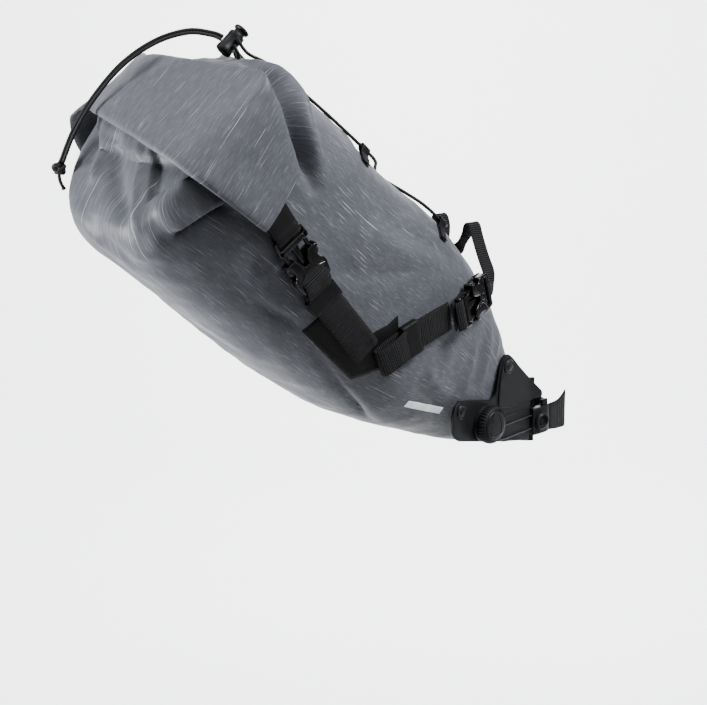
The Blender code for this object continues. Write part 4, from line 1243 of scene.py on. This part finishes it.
def make_rail_strap(side, side_name):
    """The lower webbing from the patch to its buckle."""
    place = surface_frame(*RAIL_BUCKLE, side, BUCKLE_LIFT)
    make_buckle("rail", side_name, place)
    line, feet, normals = strap_line(RAIL_STRAP, side, 2.0)
    layered(f"rail_webbing_{side_name}", feet, normals, (2.4, 2.3, 2.4, 2.6, 3.4), rib=0.13 * MM,
            replaces=[f"rail_strap_{side_name}"], **WEBBING)
    # the doubled end stands open as a loop beside the patch, then runs flat to the buckle
    start = feet[0] + normals[0] * 2.4 * MM
    run = feet[1] - feet[0]
    run /= np.linalg.norm(run)
    back = -run
    first = [start + back * 0.4 * MM, start + back * 2.8 * MM + normals[0] * 1.2 * MM,
             start + back * 3.4 * MM + normals[0] * 3.6 * MM, start + back * 1.2 * MM + normals[0] * 5.9 * MM]
    lifts = ((3, 9.2), (7, 9.4), (11, 8.0), (14, 5.9), (18, 4.4), (24, 4.3), (30, 4.4), (len(feet) - 3, 4.8))
    route = curve_through(first + [feet[k] + normals[k] * h * MM for k, h in lifts], 5)
    tangents = np.gradient(route, axis=0)
    wide = np.cross(normals[0], run)
    outs = np.cross(tangents, -wide)
    outs[np.linalg.norm(outs, axis=1) < 1e-12] = normals[0]
    strip(f"rail_bight_{side_name}", route, outs, rib=0.18 * MM, **WEBBING)
    band = surface_frame(line[16], line[17] - line[15], side, 4.0 * MM)
    keeper_band(f"rail_band_{side_name}", band, 2.8, 3, 17 * MM)
    local_strip(f"rail_turn_{side_name}", place,
                ((-31, 0.6), (-27, 3.2), *BAR_TURN, (-31, -2.4)), rib=0.12 * MM, **WEBBING)


def make_rail_loop(side, side_name):
    """Narrow webbing from the bag's top over the saddle rail and down to the female half."""
    feet = [SKIN.top(-88, side * y, 2.6 * MM) for y in (3, 9)]
    route = [tuple(spot) for spot, _ in feet]
    outs = [tuple(normal) for _, normal in feet]
    for (x, y, z), out in (((-83, 13, 172), (0, -0.8, 0.6)), ((-79.5, 16, 181), (0, -0.94, 0.34)),
                           ((-79.5, 18, 187), (0, -0.8, 0.6)), ((-79.5, 20.5, 189.6), (0, 0, 1)),
                           ((-79.5, 23.5, 189.6), (0, 0, 1)), ((-79.5, 26, 187), (0, 0.8, 0.6)),
                           ((-79.5, 29, 180), (0, 0.94, 0.34)), ((-79.5, 37, 165), (0, 0.88, 0.47)),
                           ((-79.5, 45, 152), (0, 0.88, 0.47))):
        route.append((x * MM, side * y * MM, z * MM))
        outs.append((out[0], out[1] * side, out[2]))
    place = surface_frame(*RAIL_BUCKLE, side, BUCKLE_LIFT)
    for x, h in ((29, 3.0), (24, 4.6), (20, 4.2)):
        route.append(tuple(at(place, x, 0, h)))
        outs.append(tuple(place.to_3x3() @ Vector((0.2, 0, 1))))
    strip(f"rail_sling_{side_name}", curve_through(route, 6), curve_through(outs, 6), SLING, TAPE_THICK,
          "black_webbing", rib=0.1 * MM, replaces=[f"rail_loop_{side_name}"])


# The printed bar in mm: x and z of its rear end, its run along x and z, and its width
PRINT_START = (-170, 57)
PRINT_RUN = (44, -16)
PRINT_WIDTH = 6.5


def make_print(body_piece):
    """A plain reflective bar printed on the right side wall, low down by the clamp."""
    tree = mesh_tree(body_piece.data)
    path, outs = [], []
    for share in np.linspace(0, 1, 24):
        x, z = (start + run * share for start, run in zip(PRINT_START, PRINT_RUN))
        spot, normal, _, _ = tree.ray_cast(Vector((x * MM, -0.3, z * MM)), Vector((0, 1, 0)))
        path.append(spot + normal * 0.25 * MM)
        outs.append(normal)
    strip("reflective_bar", path, outs, PRINT_WIDTH * MM, 0.3 * MM, "reflective", slot="coated_fabric")


# ---------------------------------------------------------------- post clamp

POST_RADIUS = 15.8
BAND_LEVEL = 7
BAND_WIDTH = 24
BAND_THICK = 2.0
WING_THICK = 3.0
# Along the wing, in mm: x, distance from the middle, lower edge z, upper edge z
WING_SECTIONS = (
    (-121, 49.5, 22, 36), (-118, 48.8, 17, 44), (-112, 47.0, 13, 48), (-92, 41.0, 8, 44), (-68, 35.0, 2, 39),
    (-63, 33.8, 1, 43), (-58, 32.6, 0, 66), (-52, 31.0, -2, 75), (-45, 29.2, -3, 74), (-40, 27.8, -4, 70),
    (-30, 25.2, -6, 60), (-15.5, 21.4, -9, 46.5), (-14.5, 21.3, 27, 45.5), (0, 19.9, 27, 32.5),
)
# Name, x, z and how far the raised panel lifts the head
RIVETS = (("upper", -48, 64, 0.9), ("lower", -110, 38, 0.0))
RAISED = ((-60.5, 33), (-58.5, 50), (-56.5, 62), (-53.5, 71), (-48, 74.4), (-43.5, 72), (-30, 59.2),
          (-14.5, 45), (-1.5, 33), (-1.5, 29.6), (-14, 27.6), (-30, 26.4), (-46, 27.2), (-56, 29.6))


def wing_y(x):
    """How far a wing's inner face is from the middle, in mm."""
    return float(np.interp(x, [s[0] for s in WING_SECTIONS], [s[1] for s in WING_SECTIONS]))


def wing_bend(side):
    """Lays a flat shape on a wing: its X along the bike, its Y upwards and its Z outwards."""
    return lambda spot: Vector((spot.x, side * (wing_y(spot.x / MM) * MM + spot.z), spot.y))


def make_bracket():
    """Cradle behind the post, a wing down each side of the bag and a raised panel on each wing."""
    moulded = dict(look="moulded_plastic")
    edge = [(x, low) for x, _, low, _ in WING_SECTIONS] + [(x, high) for x, _, _, high in WING_SECTIONS[::-1]]
    bends = range(-117, 0, 4)
    section = rounded(((18.7, -12), (22, -12), (22, 45), (18.7, 45)), 0.9, 3)
    rings = []
    for i in range(49):
        a = math.radians(110 + 140 * i / 48)
        rings.append([(r * MM * math.cos(a), r * MM * math.sin(a), z * MM) for r, z in section])
    cradle = add_loft("bracket", rings, replaces=["post_bracket"], angle=50.0, **moulded)
    extras = []
    for side in (-1, 1):
        bend = wing_bend(side)
        for name, outline, low, high, rim in (("wing", rounded(edge, 2.4, 4), 0.05, WING_THICK, 0.7),
                                              ("panel", rounded(RAISED, 2.5, 4), 2.6, 4.0, 0.5)):
            extras.append(plate(name, (outline,), None, low, high, rim, bend=bend, cuts=bends, **moulded))
        route = [bend(Vector((x, 20.6, 3.0)) * MM) for x in range(-60, -16, 3)]
        extras.append(tube("rail", route, 0.7 * MM, sides=8, **moulded))
    join(cradle, extras)


def wing_place(x, z, side, lift):
    """A frame that stands out of a wing, lift mm above its inner face."""
    slope = (wing_y(x + 2) - wing_y(x - 2)) / 4
    out = Vector((-slope, side, 0)).normalized()
    foot = Vector((x * MM, side * wing_y(x) * MM, z * MM)) + out * lift * MM
    return frame_at(foot, out, (0, 0, 1))


def make_rivets():
    """Domed heads with a rolled rim and a dimple."""
    dome = ((0, -1.0), (6.0, -1.0), (6.3, 0.1), (6.2, 0.8), (5.7, 1.2), (5.1, 1.25), (4.6, 0.95), (4.2, 0.9),
            (3.7, 1.3), (3.0, 1.75), (1.8, 2.1), (0.8, 2.15), (0, 2.1))
    for side, side_name in SIDES:
        for level, x, z, raised in RIVETS:
            place = wing_place(x, z, side, WING_THICK + raised)
            turned(f"rivet_head_{side_name}_{level}", dome, place, "rivet_metal", segments=40,
                   replaces=[f"rivet_{side_name}_{level}"], angle=60.0)


def make_dial():
    """Base with its lace guides, knurled knob and faceted cap."""
    place = wing_place(-78, 21, -1, WING_THICK + 0.3)
    base = ((0, 0), (15.6, 0), (15.9, 0.6), (15.4, 2.4), (13.0, 3.0), (12.7, 3.4), (12.7, 5.5), (12.4, 5.8),
            (10.6, 5.8), (10.6, 1.6), (3.2, 1.6), (3.0, 2.2), (0, 2.2))
    turned("dial_base", base, place, "moulded_plastic", segments=72,
           replaces=["dial_housing"], angle=35.0)

    def knurl(angle, r, h):
        if r < 15 or not 3.7 < h < 9.7:
            return 0.0
        return 0.42 * max(-0.6, math.cos(36 * angle))

    knob = ((3.4, 6.1), (12.9, 6.1), (12.9, 3.7), (15.2, 3.7), (15.7, 4.1), (15.9, 5.2), (15.9, 6.8),
            (15.8, 8.4), (15.5, 9.6), (15.0, 10.4), (14.4, 11.0), (13.6, 11.2), (13.35, 10.9), (13.3, 9.5),
            (3.4, 9.4))
    turned("dial_grip", knob, place, "soft_rubber", segments=288, wobble=knurl, body="dial",
           replaces=["dial_knob"], angle=35.0)
    cap = ((0, 10.0), (12.9, 10.0), (13.05, 10.3), (13.0, 11.2), (12.5, 11.8), (11.6, 12.1), (9.0, 12.25),
           (0, 12.4))
    turned("dial_badge", cap, place, "moulded_plastic", segments=72, body="dial",
           replaces=["dial_cap"], angle=35.0)
    rim = rounded(((11.2, -2.6), (11.2, 2.6), (-1.0, 7.6), (-8.2, 7.2), (-9.6, 0), (-8.2, -7.2),
                   (-1.0, -7.6)), 2.4, 6)
    path = [at(place, x, y, 12.25) for x, y in rim + rim[:1]]
    tube("dial_facet", path, 0.42 * MM, "rivet_metal", sides=8, body="dial")


CATCH_BODY = ((-13.6, -19.6), (-8.2, -21.4), (-6.6, -21.4), (-6.0, -19.4), (5, -18.8), (9.2, -18.8),
              (9.2, -21.6), (4.5, -24.4), (-5, -26.5), (-13.4, -27.0))
CATCH_BOSS = ((0, -0.6), (7.2, -0.6), (7.5, 0.6), (7.45, 2.2), (7.0, 3.2), (6.2, 3.7), (5.4, 3.5), (4.9, 2.6),
              (4.5, 1.6), (3.6, 1.2), (2.6, 1.25), (2.4, 1.7), (1.2, 1.9), (0, 1.9))
CATCH_NIB = ((-0.5, -23.4), (6.6, -22.4), (6.6, -19.6), (-0.5, -20.2))
# The pull tab in mm: x, y, lower z, upper z, thickness
TAB_SECTIONS = (
    (9.6, -19.9, -5, 19, 2.5), (13, -19.3, -5.4, 19, 2.3), (17, -18.2, -6, 19, 2.2),
    (22, -16.6, -6.8, 19.4, 2.2), (27, -14.7, -7.4, 20.8, 2.2), (31, -13.2, -7.9, 22.8, 2.3),
    (34, -11.9, -8, 24.6, 2.5), (35.6, -11.2, -7.8, 25.6, 2.6),
)


def make_strap_and_catch():
    """Band round the post, the catch at its free end with a recessed boss, and the flared tab."""
    radius = POST_RADIUS + 1.2
    route = [(x, wing_y(x) + WING_THICK + 1.4, BAND_LEVEL) for x in (-44, -32, -22)]
    route += [(x, y, BAND_LEVEL) for x, y in ((-12, 25.6), (-2, 23.8))]
    route += [(radius * math.cos(a), radius * math.sin(a), BAND_LEVEL)
              for a in np.radians(np.linspace(66, -84, 25))]
    path = evenly(curve_through(np.array(route) * MM, 4), 1.2 * MM)
    outs = path * np.array((1, 1, 0))
    outs[:, 0] = np.maximum(outs[:, 0], -0.004)
    strip("post_band", path, outs, BAND_WIDTH * MM, BAND_THICK * MM, "coated_tape", replaces=["post_strap"])
    moulded = dict(look="moulded_plastic", body="catch")
    catch = plate("catch_body", (rounded(CATCH_BODY, 1.1, 4),), Matrix.Identity(4), -5, 19, 0.9,
                  replaces=["strap_catch"], **moulded)
    boss_place = frame_at(Vector((-4, -25.6, BAND_LEVEL)) * MM, (0.1, -1, 0), (0, 0, 1))
    boss = turned("boss", CATCH_BOSS, boss_place, segments=56, **moulded)
    nib = plate("nib", (rounded(CATCH_NIB, 0.8),), Matrix.Identity(4), 18.2, 24.5, 0.6, **moulded)
    join(catch, (boss, nib))
    rows = evenly(curve_through(TAB_SECTIONS, 6), 1.0)
    rings = []
    for i, (x, y, low, high, thick) in enumerate(rows):
        ends = min(1.0, 0.55 + 0.45 * min(i, len(rows) - 1 - i) / 1.5)
        # grip ribs across the flared end
        rib = 0.35 * max(0.0, math.sin(2 * math.pi * (x - 22) / 3.4)) if 22 < x < 33 else 0.0
        half, mid = (high - low) / 2, (high + low) / 2
        ring = []
        for a in np.linspace(0, 2 * math.pi, 36, endpoint=False):
            c, s = math.cos(a), math.sin(a)
            dz = half * math.copysign(abs(c) ** 0.22, c)
            dy = (thick / 2 + (rib if s < 0 and abs(c) < 0.9 else 0)) * ends * math.copysign(abs(s) ** 0.6, s)
            hollow = -0.3 * (1 - (dz / half) ** 2) * min(1.0, max(0.0, (x - 12) / 14))
            ring.append((x * MM, (y + dy - hollow) * MM, (mid + dz) * MM))
        rings.append(ring)
    add_loft("tab_grip", rings, "soft_rubber", body="catch", replaces=["pull_tab"], angle=60.0)


def make_lace():
    """Two runs of twisted steel lace from the dial's base to the catch."""
    for name, z in (("upper", 13), ("lower", 1)):
        route = [(x, -(wing_y(x) + WING_THICK + 1.0), z) for x in (-59.5, -50, -40, -30, -22, -16)]
        path = evenly(curve_through(np.array(route + [(-14.2, -25.3, z)]) * MM, 6), 0.5 * MM)
        radii = [(0.58 + 0.06 * math.sin(i * 2.1)) * MM for i in range(len(path))]
        tube(f"lace_{name}", path, 0.6 * MM, "steel_lace", sides=10, radii=radii,
             replaces=[f"tension_lace_{name}"])


# ---------------------------------------------------------------- elastic cord and its lock

LOCK_CENTRE = Vector((-302, -5, 352)) * MM
LOCK_AXIS = (0.766, 0, 0.643)
CORD_RADIUS = 1.4
EYES = {"rear": (-206, 40), "front": (-127, 36)}
TAIL = ((-304, 2.4, 355.5), (-310, 8, 358.5), (-326, 17, 360.5), (-347, 30, 353), (-368, 44, 336),
        (-386, 57, 311), (-399, 66, 286), (-408, 71, 262), (-409.4, 71.5, 258.6))
STRANDS_BESIDE = 1.2
STRANDS_ABOVE = 1.1
KNOT = Vector((-410.4, 71.8, 255.8))
END = ((-410.6, 72.1, 253.5), (-410.4, 72.4, 249.5), (-409.3, 72.8, 245), (-406, 73.5, 239))


def make_cord_lock():
    """Ribbed barrel with its two cord ports, and the fluted plunger."""
    place = frame_at(LOCK_CENTRE, LOCK_AXIS, (0, 1, 0))
    barrel = ((0, -9), (5.4, -9), (6.3, -8.5), (6.6, -7.6), (6.6, -5.6), (6.35, -5.2), (6.35, 5.4),
              (6.6, 5.8), (6.6, 8.0), (6.3, 8.8), (5.7, 9.1), (5.3, 8.9), (5.3, -7.5), (0, -7.5))
    body = turned("lock_barrel", barrel, place, "moulded_plastic", segments=48,
                  replaces=["cord_lock_body"], angle=35.0)
    rims = []
    for sign in (-1, 1):
        ring = []
        for a in np.linspace(0, 2 * math.pi, 33):
            y, h = 2.6 * math.cos(a), 3.4 + 3.0 * math.sin(a)
            ring.append(at(place, sign * math.sqrt(max(6.5 ** 2 - y * y, 0)), y, h))
        rims.append(tube("port", ring, 0.55 * MM, "moulded_plastic", sides=8))
    join(body, rims)

    def flutes(angle, r, h):
        return 0.22 * math.cos(14 * angle) if 5.6 < r and 13.0 < h < 14.7 else 0.0

    plunger = ((0, -1.0), (4.7, -1.0), (4.9, -0.7), (4.9, 9.6), (4.6, 10.0), (4.6, 11.8), (5.0, 12.4),
               (6.1, 13.0), (6.3, 13.4), (6.3, 14.3), (6.0, 14.8), (4.8, 15.0), (4.2, 14.6), (2.0, 14.3),
               (0, 14.3))
    turned("lock_plunger", plunger, place, "moulded_plastic", segments=84, wobble=flutes,
           body="plunger", replaces=["cord_lock_plunger"], angle=35.0)


def tail_route():
    """The middle of the doubled tail, down into its knot, and how far its first strand lies from it."""
    points = curve_through(np.array(TAIL) * MM, 5)
    along = np.gradient(points, axis=0)
    side = units(np.cross(along, (0, 0, 1)))
    rise = units(np.cross(side, along))
    return points, (side * STRANDS_BESIDE + rise * STRANDS_ABOVE) * MM


def make_tail():
    """The doubled free tail that springs up and over the rolled mouth, with its knot and cut ends."""
    knot_place = frame_at(KNOT * MM, (0.2, -0.1, 1), (1, 0.4, 0))
    turns = []
    for i in range(121):
        t = 2 * math.pi * i / 120
        r = 3.2 + 1.5 * math.cos(3 * t)
        turns.append(at(knot_place, r * math.cos(2 * t), r * math.sin(2 * t), 2.9 * math.sin(3 * t)))
    knot = tube("tail_knot_cord", turns, 1.65 * MM, "shock_cord", sides=14, replaces=["tail_knot"])
    cut_line = evenly(curve_through(np.array(END) * MM, 8), 0.6 * MM)
    flare = [(1.4 + 0.45 * max(0.0, 1 - (len(cut_line) - 1 - i) / 4)) * MM for i in range(len(cut_line))]
    cut = tube("tail_cut_end", cut_line, 1.4 * MM, "shock_cord", radii=flare, replaces=["bungee_end"])
    points, apart = tail_route()
    for name, sign, goes_with in (("inner", 1, (knot, cut)), ("outer", -1, ())):
        line = points + apart * sign
        fine = evenly(curve_through(line, 4), 0.9 * MM)
        piece = tube(f"tail_{name}", fine, CORD_RADIUS * MM, "shock_cord",
                     replaces=[f"bungee_tail_{name}"])


def make_bungee(bag_body):
    """The elastic cord's zigzag over the top, laid on the fabric, and the sewn eyes that it runs through."""
    fabric = BVHTree.FromObject(bag_body, bpy.context.evaluated_depsgraph_get())

    def eye(name, side, lift=4.6):
        x, y = EYES[name]
        return SKIN.top(x, y * side, lift * MM)[0]

    def on_top(x, y, lift):
        spot, normal, _, _ = fabric.ray_cast(Vector((x * MM, y * MM, 0.6)), Vector((0, 0, -1)))
        return spot + normal * lift * MM

    def from_lock(x, y, z):
        return LOCK_CENTRE + Vector((x, y, z)) * MM

    route = [
        from_lock(1.5, -7.8, 4.5), from_lock(9, -11, -7), on_top(-276, -20, 2.0), on_top(-240, -30, 2.0),
        eye("rear", -1), on_top(-188, -29, 5), on_top(-167, 0, 7), on_top(-143, 31, 5), eye("front", 1),
        on_top(-112, 24, 4), on_top(-108, 0, 3), on_top(-112, -24, 4), eye("front", -1), on_top(-143, -31, 3),
        on_top(-167, 0, 2), on_top(-188, 29, 3), eye("rear", 1), on_top(-240, 30, 2.0), on_top(-272, 20, 2.0),
        from_lock(10, 10, -7),
        from_lock(9, 4, -13), from_lock(2, -9, -8), from_lock(-1.2, -7.8, -0.2),
    ]
    steps = 8
    line = curve_through(route, steps)
    tube("zigzag_cord", evenly(line, 1.1 * MM), CORD_RADIUS * MM, "shock_cord", replaces=["bungee_cord"])
    # each eye's tab stands at its place in the route, which is the last value here
    for name, side, end, index in (("right_rear", -1, "rear", 4), ("left_front", 1, "front", 8),
                                   ("right_front", -1, "front", 12), ("left_rear", 1, "rear", 16)):
        spot = Vector(line[steps * index])
        x, y = EYES[end]
        normal = SKIN.top(x, y * side, 0)[1]
        along = Vector(line[steps * index + 1] - line[steps * index - 1]).normalized()
        away = along.cross(normal).normalized()
        if away.y * side < 0:
            away = -away
        shape = [(17, -4.0), (10, -3.9), (4, -3.4), (0.6, -2.6), (-2.4, -1.2), (-2.6, 1.0), (-0.6, 2.6),
                 (2.2, 1.4), (5.0, -1.4), (10, -2.3), (16.6, -2.6)]
        smooth = curve_through(shape, 6)
        run = np.gradient(smooth, axis=0)
        path, outs = [], []
        for (a, h), (da, dh) in zip(smooth, run):
            foot = spot + away * a * MM
            found = SKIN.tree.find_nearest(foot)
            drop = max(0.0, (foot - found[0]).dot(found[1]) - 4.6 * MM) if a > 2 else 0.0
            path.append(foot + normal * (h * MM - drop))
            outs.append(away * dh - normal * da)
        strip(f"eye_tab_{name}", path, outs, 9 * MM, 0.9 * MM, "coated_tape", spacing=0.6 * MM,
              replaces=[f"bungee_eye_{name}"])


make_camera()
make_lights()
LOOKS["floor"] = floor_look()
make_floor(LOOKS["floor"])
bag_body = make_body()
make_print(bag_body)
make_tail()
make_bungee(bag_body)
make_cord_lock()
make_roll()
for side, side_name in SIDES:
    make_closure(side, side_name)
    make_rail_strap(side, side_name)
    make_rail_loop(side, side_name)
make_bracket()
make_rivets()
make_dial()
make_strap_and_catch()
make_lace()

for row in frame["record"]["subparts"]:
    node = NODES[row["node"]]
    node.data.materials.clear()
    node.data.materials.append(LOOKS[row["material_slot"]])
